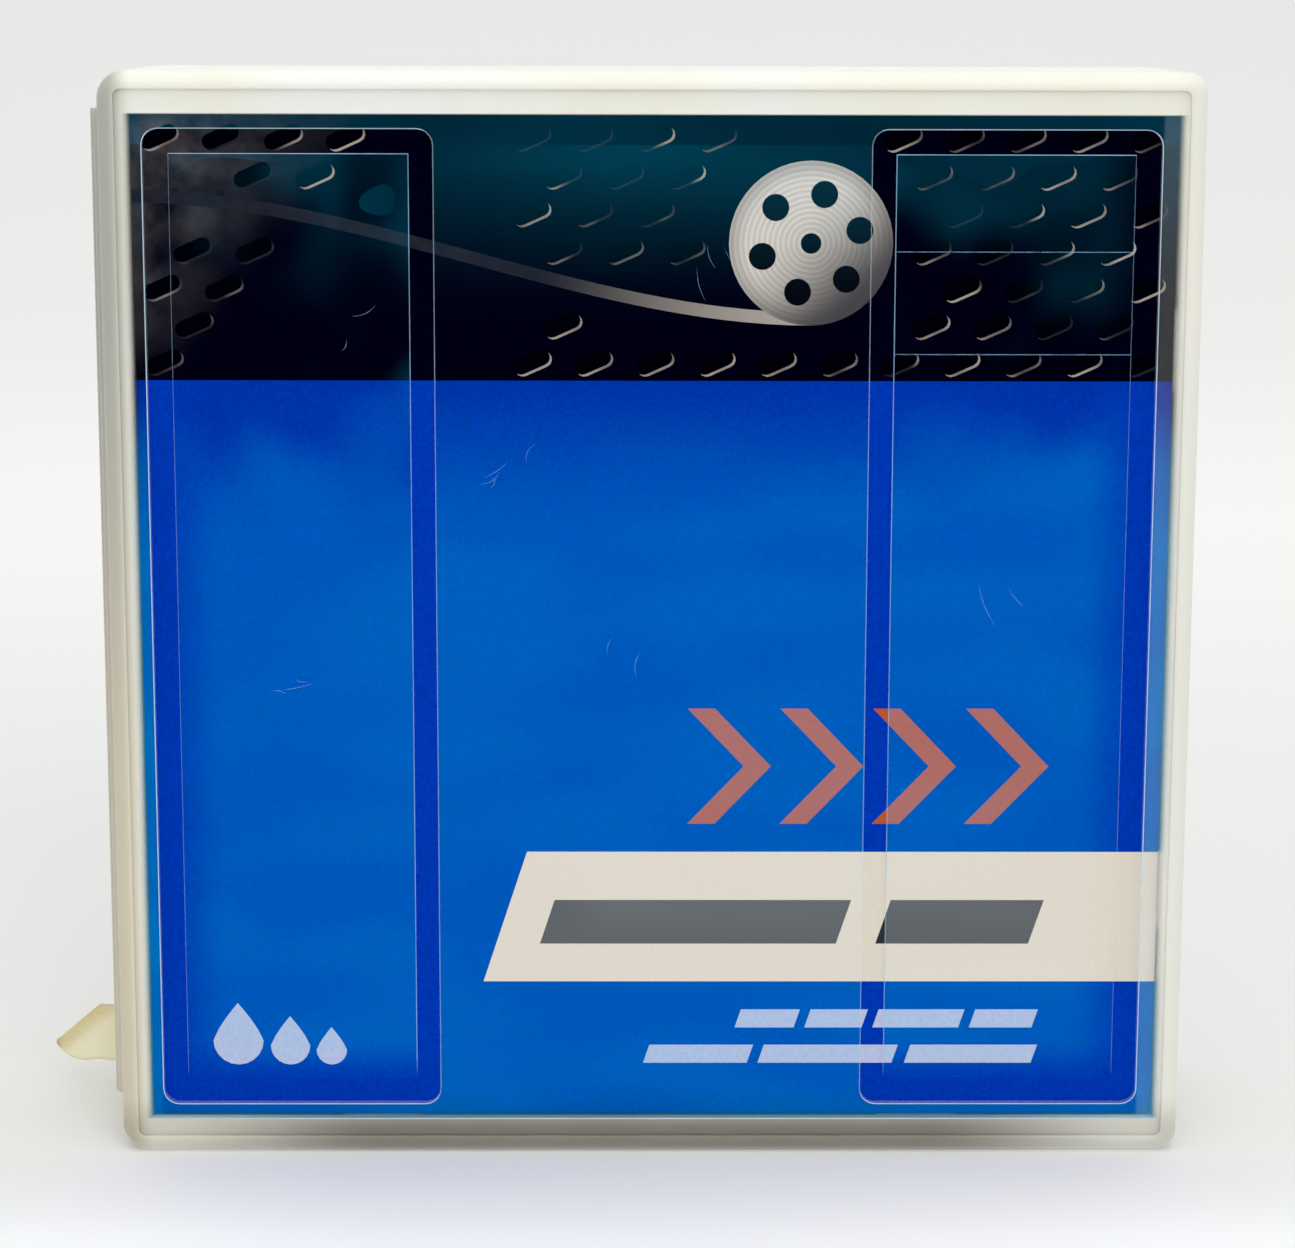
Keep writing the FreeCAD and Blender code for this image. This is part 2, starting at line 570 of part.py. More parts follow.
def case_tray():
    """Rear half of the case: walls, lip, cartridge ribs, seat pads, hinge web and latch bead."""
    body = new_body("case_tray")
    case_block(body, TRAY_EDGE, BACK, f"{BACK} - {TRAY_EDGE}", True)

    cavity = face_sketch(body, TRAY_EDGE)
    draw_inset(cavity, "case_wall")
    remove(body, cavity, f"{TRAY_FLOOR} - {TRAY_EDGE}")

    panel = face_sketch(body, BACK)
    draw_inset(panel, "rim_width", "panel_corner")
    remove(body, panel, "panel_recess", forwards=True)

    lip_outer = "case_wall + tongue_clearance"
    lip_inner = f"{lip_outer} + tongue_thickness"
    root = face_sketch(body, f"{TRAY_EDGE} + tongue_root")
    draw_inset(root, "case_wall")
    draw_inset(root, lip_inner)
    add(body, root, "tongue_root - parting_gap")
    lip = face_sketch(body, f"{TRAY_EDGE} + tongue_root/2")
    draw_inset(lip, lip_outer)
    draw_inset(lip, lip_inner)
    add(body, lip, "tongue_root/2 + parting_gap/2 + tongue_height")

    ribs = face_sketch(body, f"{TRAY_FLOOR} + panel_thickness/2")
    gap = "seat_clearance"
    for sign in ("-", "+"):
        low = f"{sign} rib_spacing/2 - rib_thickness/2"
        high = f"{sign} rib_spacing/2 + rib_thickness/2"
        draw_rectangle(ribs, f"-{CASE_WIDTH}/2 + case_wall/2", f"-cart_width/2 - {gap}",
                       f"{CART_MIDDLE} + {low}", f"{CART_MIDDLE} + {high}")
        draw_rectangle(ribs, f"cart_width/2 + {gap}", f"{CASE_WIDTH}/2 - case_wall/2",
                       f"{CART_MIDDLE} + {low}", f"{CART_MIDDLE} + {high}")
        draw_rectangle(ribs, low, high, "case_wall/2", CART_LOW)
        draw_rectangle(ribs, low, high, f"{CART_LOW} + cart_height + {gap}", f"{CASE_HEIGHT} - case_wall/2")
    add(body, ribs, f"{TRAY_FLOOR} + panel_thickness/2 - {TRAY_EDGE} - rib_drop")

    pads = face_sketch(body, f"{TRAY_FLOOR} + panel_thickness/2")
    for across in ("-seat_spacing/2", "seat_spacing/2"):
        for up in ("-seat_spacing/2", "seat_spacing/2"):
            draw_rectangle(pads, f"{across} - seat_width/2", f"{across} + seat_width/2",
                           f"{CART_MIDDLE} + {up} - seat_width/2", f"{CART_MIDDLE} + {up} + seat_width/2")
    add(body, pads, "seat_pad + panel_thickness/2")

    web = level_sketch(body, "hinge_inset")
    web_outline(web, 1, "0")
    add(body, web, f"{CASE_HEIGHT} - 2*hinge_inset")
    bend = level_sketch(body, "hinge_inset")
    draw_circle(bend, f"-{CASE_WIDTH}/2 - hinge_reach", PARTING, "web_bead")
    add(body, bend, f"{CASE_HEIGHT} - 2*hinge_inset")

    bead = level_sketch(body, f"{CASE_HEIGHT}/2 - latch_length/2")
    latch_outline(bead, "0")
    add(body, bead, "latch_length")

    thumb = side_sketch(body, f"{CASE_WIDTH}/2")
    end = "(thumb_length/2 - thumb_width/2)"
    draw_belt(thumb, [
        (TRAY_EDGE, f"{CASE_HEIGHT}/2 - {end}", "thumb_width/2"),
        (TRAY_EDGE, f"{CASE_HEIGHT}/2 + {end}", "thumb_width/2"),
    ])
    remove(body, thumb, "thumb_depth")
    return body


def insert_card():
    """Printed card behind the front panel."""
    body = new_body("insert_card")
    sketch = face_sketch(body, CARD_BACK)
    draw_rectangle(sketch, f"card_shift - {CARD_SIDE}", f"card_shift + {CARD_SIDE}", "card_low", CARD_HIGH)
    add(body, sketch, "card_thickness")
    return body


def tape_remnant():
    """Torn piece of old adhesive tape: one end stuck to the hinge wall, the other standing out."""
    body = new_body("tape_remnant")
    wall = f"-{CASE_WIDTH}/2"
    held = face_sketch(body, "remnant_depth + remnant_hold")
    draw_rectangle(held, f"{wall} - remnant_thickness", wall, "remnant_low", "remnant_low + remnant_height")
    add(body, held, "remnant_hold")
    flag = face_sketch(body, "remnant_depth + remnant_thickness")
    draw_outline(flag, [
        (wall, "remnant_low + remnant_height"),
        (f"{wall} - remnant_upper", "remnant_low + remnant_height"),
        (f"{wall} - remnant_reach", "remnant_low + remnant_tip"),
        (f"{wall} - remnant_reach + remnant_nick", "remnant_low + remnant_nick"),
        (f"{wall} - remnant_lower", "remnant_low"),
        (wall, "remnant_low"),
    ])
    add(body, flag, "remnant_thickness")
    return body


def draw_shell(sketch, inset):
    """Draw the cartridge's outline moved in from its sides."""
    draw_round_rectangle(sketch, f"-cart_width/2 + {inset}", f"cart_width/2 - {inset}",
                         f"-cart_height/2 + {inset}", f"cart_height/2 - {inset}",
                         f"(cart_corner - {inset})")


def screw_places():
    """The four screw axes of the cartridge."""
    across = "(cart_width/2 - screw_inset)"
    up = "(cart_height/2 - screw_inset)"
    return [(f"{x}{across}", f"{z}{up}") for x in ("-", "") for z in ("-", "")]


def screw_bosses(body, depth):
    """Sketch a corner block round each screw axis, from inside the walls to past the screw."""
    sketch = face_sketch(body, depth)
    outer = "cart_corner/2"
    inner = "(screw_inset + screw_radius + boss_wall)"
    for x in (-1, 1):
        for z in (-1, 1):
            sides = [f"{x}*(cart_width/2 - {inset})" for inset in (outer, inner)][::x]
            levels = [f"{z}*(cart_height/2 - {inset})" for inset in (outer, inner)][::z]
            draw_rectangle(sketch, *sides, *levels)
    return sketch


def draw_at_screws(body, depth, radius):
    """Sketch a circle round each screw axis."""
    sketch = face_sketch(body, depth)
    for across, up in screw_places():
        draw_circle(sketch, across, up, radius)
    return sketch


def cut_door_notch(body, depth, forwards):
    """Cut a shell's half of the door opening out of its upper wall, from the seam."""
    notch = face_sketch(body, SEAM)
    draw_rectangle(notch, "door_left", "door_right", "cart_height/2 - 2*cart_wall",
                   "cart_height/2 + cart_wall")
    remove(body, notch, depth, forwards=forwards)


def cut_label_recess(body):
    """Sink the label's place into the cartridge's edge on the hinge side."""
    label = side_sketch(body, "-cart_width/2 + label_depth")
    draw_rectangle(label, f"{SEAM} - label_width/2", f"{SEAM} + label_width/2",
                   "label_up - label_length/2", "label_up + label_length/2")
    remove(body, label, "label_depth + cart_wall")


def lock_point(side, radius, angle):
    """Place at a radius from the reel axis, turned from a lock's pivot; side is -1 left, 1 right."""
    bearing = f"(lock_bearing*1 deg - {angle})"
    return (f"{side}*{radius}*cos{bearing}", f"-{radius}*sin{bearing}")


def cartridge_lower_shell():
    """Rear shell, with the drive opening, lever posts, screw bosses and half of the door opening."""
    body = cartridge_body("cartridge_lower_shell")
    edge = f"({SEAM} + seam_gap/2)"
    outline = face_sketch(body, "0")
    draw_shell(outline, "0")
    block = add(body, outline, f"-{edge}")
    dress_face(body, block, "Chamfer", "0", "cart_bevel")

    cavity = face_sketch(body, edge)
    draw_shell(cavity, "cart_wall")
    remove(body, cavity, f"{LOWER_FLOOR} - {edge}")

    add(body, screw_bosses(body, f"{LOWER_FLOOR}/2"), f"{LOWER_FLOOR}/2 - {edge}")
    hole = draw_at_screws(body, edge, "screw_radius + screw_clearance")
    remove(body, hole, f"-{edge}")
    sink = draw_at_screws(body, "0", "screw_head + screw_clearance")
    remove(body, sink, "head_sink + head_height", forwards=True)

    opening = face_sketch(body, "0")
    draw_circle(opening, "0", "0", "hub_opening")
    remove(body, opening, "2*cart_wall", forwards=True)

    posts = face_sketch(body, f"{LOWER_FLOOR}/2")
    for side in (-1, 1):
        draw_circle(posts, *lock_point(side, "lock_pivot", "0 deg"), "lock_post")
    draw_circle(posts, "door_lock_across", "door_lock_up", "door_lock_post")
    add(body, posts, f"{LOWER_FLOOR}/2 - {LEVER_FRONT} + wire_side + 2*wire_gap")
    collar = face_sketch(body, f"{LOWER_FLOOR}/2")
    draw_circle(collar, *DOOR_HINGE, "door_barrel")
    add(body, collar, "door_low + door_gap - cart_wall/2")
    pin = face_sketch(body, f"{LOWER_FLOOR}/2")
    draw_circle(pin, *DOOR_HINGE, "door_pin + pivot_clearance")
    remove(body, pin, "door_low + cart_wall", forwards=True)

    cut_door_notch(body, "cart_split - door_low", False)
    window = side_sketch(body, "-cart_width/2")
    draw_rectangle(window, "-switch_depth - switch_width/2 - switch_clearance",
                   "-switch_depth + switch_width/2 + switch_clearance",
                   "switch_up - switch_length/2 - switch_travel/2 - switch_clearance",
                   "switch_up + switch_length/2 + switch_travel/2 + switch_clearance")
    remove(body, window, "2*cart_wall", forwards=True)
    cut_label_recess(body)
    return body


def cartridge_upper_shell():
    """Front shell, with screw bosses, spring seat, grip grooves and half of the door opening."""
    body = cartridge_body("cartridge_upper_shell")
    edge = f"({SEAM} - seam_gap/2)"
    outline = face_sketch(body, edge)
    draw_shell(outline, "0")
    block = add(body, outline, f"cart_thickness + {edge}")
    dress_face(body, block, "Chamfer", "-cart_thickness", "cart_bevel")

    cavity = face_sketch(body, edge)
    draw_shell(cavity, "cart_wall")
    remove(body, cavity, f"{edge} - {UPPER_FLOOR}", forwards=True)

    bosses = screw_bosses(body, f"{UPPER_FLOOR} - cart_wall/2")
    add(body, bosses, f"{edge} - {UPPER_FLOOR} + cart_wall/2", backwards=True)
    hole = draw_at_screws(body, edge, "screw_radius + screw_clearance/2")
    reach = "head_sink + head_height + screw_length - cart_split"
    remove(body, hole, f"{reach} + 2*screw_clearance", forwards=True)

    seat = face_sketch(body, f"{UPPER_FLOOR} - cart_wall/2")
    near = "(spring_reach + spring_gap)"
    far = f"({near} + cart_wall)"
    draw_rectangle(seat, f"-{far}", f"-{near}", "-spring_width/2", "spring_width/2")
    draw_rectangle(seat, near, far, "-spring_width/2", "spring_width/2")
    add(body, seat, "cart_wall/2 + spring_gap + 2*spring_sheet", backwards=True)
    pin = face_sketch(body, f"{UPPER_FLOOR} - cart_wall/2")
    draw_circle(pin, *DOOR_HINGE, "door_barrel")
    add(body, pin, f"cart_wall/2 - {UPPER_FLOOR} - door_high - wire_side - 3*wire_gap", backwards=True)
    bore = face_sketch(body, f"{SEAM} - seam_gap")
    draw_circle(bore, *DOOR_HINGE, "door_pin + pivot_clearance")
    remove(body, bore, "cart_thickness - cart_wall - cart_split - seam_gap", forwards=True)

    cut_door_notch(body, "door_high - cart_split", True)
    cut_label_recess(body)

    grooves = face_sketch(body, "-cart_thickness")
    for number in range(round(measure("grip_count"))):
        across = f"grip_inset - cart_width/2 + {number}*grip_pitch"
        draw_rectangle(grooves, f"{across} - grip_width/2", f"{across} + grip_width/2",
                       "-grip_length/2", "grip_length/2")
    remove(body, grooves, "grip_depth")
    return body


def shell_screws():
    """Four screws that hold the shells together."""
    solids = []
    for across, up in screw_places():
        cylinders = []
        for radius, length, depth in (("screw_head", "head_height", "head_sink"),
                                      ("screw_radius", "screw_length", "head_sink + head_height")):
            cylinder = document.addObject("Part::Cylinder", "screw_round")
            bind(cylinder, "Radius", radius)
            bind(cylinder, "Height", length)
            cylinder.Placement.Rotation = FreeCAD.Rotation(FreeCAD.Vector(1, 0, 0), 90)
            bind(cylinder, "Placement.Base.x", across)
            bind(cylinder, "Placement.Base.y", f"{CART_BACK} - ({depth})")
            bind(cylinder, "Placement.Base.z", f"{CART_MIDDLE} + {up}")
            cylinders.append(cylinder)
        screw = document.addObject("Part::MultiFuse", "screw")
        screw.Shapes = cylinders
        solids.append(screw)
    group = document.addObject("Part::Compound", "shell_screws")
    group.Label = "shell_screws"
    group.Links = solids
    return group


def reel_hub():
    """Reel hub with lower flange: drive slots on its back face, lock notches round its rim."""
    body = cartridge_body("reel_hub")
    profile = level_sketch(body, "0")
    draw_outline(profile, [
        ("drive_inner", "-drive_sink"),
        ("drive_inner", "-web_depth"),
        ("button_radius", "-web_depth"),
        ("button_radius", "-web_depth - reel_web"),
        ("hub_bore", "-web_depth - reel_web"),
        ("hub_bore", HUB_FRONT),
        ("hub_radius", HUB_FRONT),
        ("hub_radius", FLANGE_FRONT),
        ("flange_radius", FLANGE_FRONT),
        ("flange_radius", FLANGE_BACK),
        ("drive_outer", FLANGE_BACK),
        ("drive_outer", "-drive_sink"),
    ])
    revolve(body, profile)

    slot = face_sketch(body, "-drive_sink")
    draw_rectangle(slot, "drive_inner - slot_width", "drive_outer + slot_width",
                   "-slot_width/2", "slot_width/2")
    repeat_round(body, remove(body, slot, "slot_depth", forwards=True), "drive_slots")

    notch = face_sketch(body, FLANGE_BACK)
    draw_outline(notch, [
        ("flange_radius - notch_depth", "-notch_floor/2"),
        ("flange_radius + notch_depth", "-notch_mouth + notch_floor/2"),
        ("flange_radius + notch_depth", "notch_mouth - notch_floor/2"),
        ("flange_radius - notch_depth", "notch_floor/2"),
    ])
    repeat_round(body, remove(body, notch, "flange_thickness", forwards=True), "lock_notches")
    return body


def reel_upper_flange():
    """Flange that closes the reel, with a spigot inside the hub."""
    body = cartridge_body("reel_upper_flange")
    profile = level_sketch(body, "0")
    draw_outline(profile, [
        ("hub_bore - button_fit - flange_thickness", REEL_FRONT),
        ("flange_radius", REEL_FRONT),
        ("flange_radius", HUB_FRONT),
        ("hub_bore - button_fit", HUB_FRONT),
        ("hub_bore - button_fit", f"{HUB_FRONT} + flange_thickness"),
        ("hub_bore - button_fit - flange_thickness", f"{HUB_FRONT} + flange_thickness"),
    ])
    revolve(body, profile)
    return body


def tape_pack():
    """Wound cleaning tape."""
    body = cartridge_body("tape_pack")
    ring = face_sketch(body, f"{FLANGE_FRONT} - tape_clearance")
    draw_circle(ring, "0", "0", "pack_radius")
    draw_circle(ring, "0", "0", "hub_radius + wind_clearance")
    add(body, ring, "tape_width")
    return body


def tape_leader():
    """Leader film from the wound tape to its rolled end beside the door."""
    body = cartridge_body("tape_leader")
    start = "(pack_radius + leader_gap + leader_thickness/2)"
    turn = f"(atan2(leader_up; leader_across) + acos({start}/hypot(leader_up; leader_across)))"
    film = face_sketch(body, f"{FLANGE_FRONT} - tape_clearance")
    draw_belt(film, [
        (f"{start}*cos({turn})", f"{start}*sin({turn})", "leader_thickness/2"),
        ("leader_across", "leader_up", "leader_thickness/2"),
    ])
    add(body, film, "tape_width")
    end = face_sketch(body, f"{FLANGE_FRONT} - tape_clearance")
    draw_circle(end, "leader_across", "leader_up", "leader_bead")
    add(body, end, "tape_width")
    return body


def thrust_button():
    """Button in the hub floor, with a bevelled end that the reel spring bears on."""
    body = cartridge_body("thrust_button")
    radius = "(button_radius - button_fit)"
    profile = level_sketch(body, "0")
    draw_outline(profile, [
        ("0", "-web_depth"),
        ("0", BUTTON_FRONT),
        (f"{radius} - button_bevel", BUTTON_FRONT),
        (radius, f"{BUTTON_FRONT} + button_bevel"),
        (radius, "-web_depth"),
    ])
    revolve(body, profile)
    return body


def reel_spring():
    """Bent leaf spring between the upper shell and the thrust button."""
    body = cartridge_body("reel_spring")
    low = f"{BUTTON_FRONT} - spring_gap"
    high = f"{UPPER_FLOOR} + spring_gap"
    profile = level_sketch(body, "-spring_width/2")
    draw_outline(profile, [
        ("-spring_reach", high),
        ("-spring_flat", f"{low} - spring_sheet"),
        ("spring_flat", f"{low} - spring_sheet"),
        ("spring_reach", high),
        ("spring_reach", f"{high} + spring_sheet"),
        ("spring_flat", low),
        ("-spring_flat", low),
        ("-spring_reach", f"{high} + spring_sheet"),
    ])
    add(body, profile, "spring_width")
    return body


def reel_lock(label, side):
    """Lever that blocks the reel, swung clear of the flange rim; side is -1 left, 1 right."""
    body = cartridge_body(label)
    pivot = lock_point(side, "lock_pivot", "0 deg") + ("lock_hub",)
    arm = lock_point(side, f"({FREE_RADIUS} + lock_nose)", FREE_ANGLE) + ("lock_arm",)
    tip = lock_point(side, FREE_RADIUS, FREE_ANGLE) + ("lock_tip",)
    lever = face_sketch(body, LEVER_BACK)
    draw_belt(lever, [pivot, arm])
    add(body, lever, "lock_thickness")
    nose = face_sketch(body, LEVER_BACK)
    draw_belt(nose, [arm, tip])
    add(body, nose, "lock_thickness")
    hole = face_sketch(body, LEVER_FRONT)
    draw_circle(hole, *pivot[:2], "lock_post + pivot_clearance")
    remove(body, hole, "lock_thickness")
    return body


def hairpin(label, middle, bend, depth, leg, upright):
    """Hairpin of square wire bent half round a post, its two legs upright or towards the latch side."""
    body = cartridge_body(label)
    across, up = middle
    half = "wire_side/2"
    near, far = f"{depth} - {half}", f"{depth} + {half}"
    if upright:
        sides = [(f"{across} - {bend}", up), (f"{across} + {bend}", up)]
        ends = [(x, f"{z} + {leg}") for x, z in sides]
        section = level_sketch(body, ends[0][1])
        draw_rectangle(section, f"{ends[0][0]} - {half}", f"{ends[0][0]} + {half}", near, far)
    else:
        sides = [(across, f"{up} + {bend}"), (across, f"{up} - {bend}")]
        ends = [(f"{x} + {leg}", z) for x, z in sides]
        section = side_sketch(body, ends[0][0])
        draw_rectangle(section, near, far, f"{ends[0][1]} - {half}", f"{ends[0][1]} + {half}")
    spine = face_sketch(body, depth)
    route = [FreeCAD.Vector(measure(x), measure(z), 0) for x, z in (ends[0], *sides, ends[1])]
    circle = Part.Circle((route[1] + route[2]) / 2, FreeCAD.Vector(0, 0, 1), measure(bend))
    begin = circle.parameter(route[1])
    first = spine.addGeometry(Part.LineSegment(route[0], route[1]))
    turn = spine.addGeometry(Part.ArcOfCircle(circle, begin, begin + math.pi))
    last = spine.addGeometry(Part.LineSegment(route[2], route[3]))
    spine.addConstraint(Sketcher.Constraint("Coincident", first, 2, turn, 1))
    spine.addConstraint(Sketcher.Constraint("Coincident", turn, 2, last, 1))
    pin_point(spine, (turn, 1), *sides[0])
    pin_point(spine, (turn, 2), *sides[1])
    spine.addConstraint(Sketcher.Constraint("Symmetric", turn, 1, turn, 2, turn, 3))
    pin_point(spine, (first, 1), *ends[0])
    pin_point(spine, (last, 2), *ends[1])
    wire = body.newObject("PartDesign::AdditivePipe", f"{label}_wire")
    wire.Profile = section
    wire.Spine = (spine, ["Edge1", "Edge2", "Edge3"])
    return body


def lock_spring(label, side):
    """Hairpin spring on a lock's pivot post, in front of the lever."""
    middle = lock_point(side, "lock_pivot", "0 deg")
    depth = f"({LEVER_FRONT} - wire_gap - wire_side/2)"
    return hairpin(label, middle, "(lock_post + wire_gap + wire_side/2)", depth, "lock_leg", True)


def tape_door():
    """Door over the tape's way out, with its hinge barrel."""
    body = cartridge_body("tape_door")
    back = "-door_low - door_gap"
    length = "door_high - door_low - 2*door_gap"
    top = "cart_height/2"
    plate = face_sketch(body, back)
    draw_rectangle(plate, "door_left + door_gap", "door_right - door_gap", f"{top} - door_plate", top)
    add(body, plate, length)
    barrel = face_sketch(body, back)
    draw_belt(barrel, [
        DOOR_HINGE + ("door_barrel",),
        ("door_left + 2*door_barrel", f"{top} - door_plate - door_arm/2", "door_arm"),
    ])
    add(body, barrel, length)
    bore = face_sketch(body, f"{back} - ({length})")
    draw_circle(bore, *DOOR_HINGE, "door_pin + pivot_clearance")
    remove(body, bore, length)
    return body


def door_pin():
    """Hinge pin of the door, held in a boss of each shell."""
    body = cartridge_body("door_pin")
    pin = face_sketch(body, f"{LOWER_FLOOR} - pivot_clearance")
    draw_circle(pin, *DOOR_HINGE, "door_pin")
    add(body, pin, "cart_thickness - 2*cart_wall - 2*pivot_clearance")
    return body


def door_spring():
    """Hairpin spring on the door's pin, between the door and the upper shell's boss."""
    depth = "(-door_high - wire_gap - wire_side/2)"
    return hairpin("door_spring", DOOR_HINGE, "(door_pin + wire_gap + wire_side/2)", depth,
                   "door_leg", False)


def door_lock():
    """Lever that keeps the door shut."""
    body = cartridge_body("door_lock")
    lever = face_sketch(body, LEVER_BACK)
    draw_belt(lever, [
        ("door_lock_across", "door_lock_up", "door_lock_hub"),
        ("door_right + door_lock_tip", "cart_height/2 - cart_wall - door_lock_tip - lever_gap",
         "door_lock_tip"),
    ])
    add(body, lever, "lock_thickness")
    hole = face_sketch(body, LEVER_FRONT)
    draw_circle(hole, "door_lock_across", "door_lock_up", "door_lock_post + pivot_clearance")
    remove(body, hole, "lock_thickness")
    return body


def write_protect_switch():
    """Slider in the cartridge's edge: plate behind the wall, thumb piece in the window."""
    body = cartridge_body("write_protect_switch")
    wall = "-cart_width/2 + cart_wall + switch_clearance"
    low = "(switch_up - switch_travel/2)"
    plate = side_sketch(body, wall)
    half_up = "(switch_length/2 + switch_travel + switch_flange)"
    half_deep = "(switch_width/2 + switch_flange)"
    draw_rectangle(plate, f"-switch_depth - {half_deep}", f"-switch_depth + {half_deep}",
                   f"{low} - {half_up}", f"{low} + {half_up}")
    add(body, plate, "switch_plate")
    thumb = side_sketch(body, f"{wall} + switch_plate/2")
    draw_rectangle(thumb, "-switch_depth - switch_width/2", "-switch_depth + switch_width/2",
                   f"{low} - switch_length/2", f"{low} + switch_length/2")
    add(body, thumb, "switch_plate/2 + switch_clearance + cart_wall - switch_sink", backwards=True)
    groove = side_sketch(body, "-cart_width/2 + switch_sink")
    draw_rectangle(groove, "-switch_depth - switch_width", "-switch_depth + switch_width",
                   f"{low} - nail_groove", f"{low} + nail_groove")
    remove(body, groove, "nail_groove", forwards=True)
    return body


def check(pieces):
    """Stop if an object of the document failed or a piece has no sound shape."""
    document.recompute()
    for item in document.Objects:
        if "Invalid" in item.State or "Error" in item.State:
            raise RuntimeError(f"{item.Name} failed: {item.State}")
    for piece in pieces:
        if piece.Shape.isNull() or not piece.Shape.isValid():
            raise RuntimeError(f"{piece.Label} has no sound shape")


def build():
    """Make every piece, in the order in which they would be put together."""
    return [
        case_tray(),
        case_cover(),
        insert_card(),
        tape_remnant(),
        cartridge_lower_shell(),
        cartridge_upper_shell(),
        shell_screws(),
        reel_hub(),
        reel_upper_flange(),
        tape_pack(),
        tape_leader(),
        thrust_button(),
        reel_spring(),
        reel_lock("reel_lock_left", -1),
        reel_lock("reel_lock_right", 1),
        lock_spring("lock_spring_left", -1),
        lock_spring("lock_spring_right", 1),
        tape_door(),
        door_pin(),
        door_spring(),
        door_lock(),
        write_protect_switch(),
    ]


parts = build()
check(parts)
os.makedirs("parts", exist_ok=True)
for part in parts:
    part.Shape.exportStep(os.path.join("parts", f"{part.Label}.step"))
    box = part.Shape.BoundBox
    extents = ", ".join(f"{low:.2f} {high:.2f}" for low, high in (
        (box.XMin, box.XMax), (box.YMin, box.YMax), (box.ZMin, box.ZMax)))
    print(f"{part.Label}: {len(part.Shape.Solids)} solid, {part.Shape.Volume:.1f} mm3, {extents}")
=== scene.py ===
import math
import random

import bmesh
import bpy
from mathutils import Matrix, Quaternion, Vector


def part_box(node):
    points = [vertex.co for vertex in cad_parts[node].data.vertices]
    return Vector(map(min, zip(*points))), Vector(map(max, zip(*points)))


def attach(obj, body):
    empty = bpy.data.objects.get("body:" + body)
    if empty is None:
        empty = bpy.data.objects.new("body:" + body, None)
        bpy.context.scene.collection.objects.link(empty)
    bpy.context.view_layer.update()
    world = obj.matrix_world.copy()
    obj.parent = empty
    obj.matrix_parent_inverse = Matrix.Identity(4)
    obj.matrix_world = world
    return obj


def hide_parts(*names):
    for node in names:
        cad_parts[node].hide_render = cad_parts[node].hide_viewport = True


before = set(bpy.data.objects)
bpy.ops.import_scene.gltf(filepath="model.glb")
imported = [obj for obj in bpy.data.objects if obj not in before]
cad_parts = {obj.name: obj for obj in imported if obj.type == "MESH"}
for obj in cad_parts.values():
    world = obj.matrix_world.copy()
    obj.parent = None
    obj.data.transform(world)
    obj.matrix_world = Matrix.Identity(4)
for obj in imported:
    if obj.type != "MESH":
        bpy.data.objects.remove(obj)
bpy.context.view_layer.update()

# Looks of a tape cleaning cartridge in its milky storage case, with a printed card behind the clear front.
# Sizes and places are in millimetres in the part's own frame: X to the right, Y to the back, Z up.
# Only the shapes of the stage and the lamps are in metres.
MM = 0.001
IMAGE_WIDTH = 1295
WHITE = (1.0, 1.0, 1.0, 1.0)

# Camera
CAMERA_PLACE = (-3.4, -379.0, 126.8)
CAMERA_AIM = (0.008, 0.9836, -0.1805)
CAMERA_ROLL = 0.0024
FOCAL_PIXELS = 3400.0
SENSOR = 36.0

# Milky walls: painted shade on the left and right ends and along the foot, and how far light spreads in the
# wall
SHADED_END_EDGE = 56.5
SHADED_END_SOFT = 1.5
SHADED_END_LOW = 30.0
SHADED_END_HIGH = 100.0
FOOT_SHADE_FULL = 2.5
FOOT_SHADE_TOP = 7.0
FOOT_SHADE_MIDDLE = 30.0
FOOT_SHADE_END = 57.0
FOOT_SHADE_STRENGTH = 0.85
LIGHT_SPREAD = 1.2

# Clear front: where it begins, its two windows, and the flap set back in each
SHARP = 0.02
CLEAR_SPREAD = 0.3
CLEAR_SOFT = 0.5
CLEAR_END_SOFT = 0.12
CLEAR_BACK = -13.45
PANEL_FACE = -15.1
WINDOW_HALF_WIDTH = 15.4
WINDOW_BOTTOM = 5.6
WINDOW_TOP = 113.3
WINDOW_CORNER = 1.7
FLAP_FRONT = -14.2
FLAP_FACE = -14.1
FLAP_MIDDLE = 38.8
FLAP_HALF_WIDTH = 12.8
FLAP_BOTTOM = 8.2
FLAP_TOP = 110.7
FLAP_CORNER = 0.05
FLAP_OUTSIDE = FLAP_MIDDLE + FLAP_HALF_WIDTH
WINDOW_OUTSIDE = FLAP_MIDDLE + WINDOW_HALF_WIDTH

# Gloss and haze of the clear front. The oblique start and full values are shares that Fresnel gives.
# The shifts lift the banner's tint to where the panel and the flaps show the banner.
PANEL_IOR = 1.6
PANEL_SHINE = 2.4
OBLIQUE_SHINE = 1.2
OBLIQUE_START = 0.056
OBLIQUE_FULL = 0.1
STRIP_SHINE = 1.6
STRIP_SOFT = 0.4
STRIP_HAZE = 0.035
EDGE_HAZE = 0.15
FLAP_FADE = 5.0
FLAP_WAVE = 15.0
FLAP_WAVE_DEPTH = 0.4
BLUE_GLOSS = (0.0, 0.6, 1.0, 1.0)
BANNER_GLOSS = (0.9, 0.95, 1.0, 1.0)
OBLIQUE_GLOSS = (0.85, 0.93, 1.0, 1.0)
BANNER_SOFT = 0.1
PANEL_SHIFT = 0.45
FLAP_SHIFT = 0.18
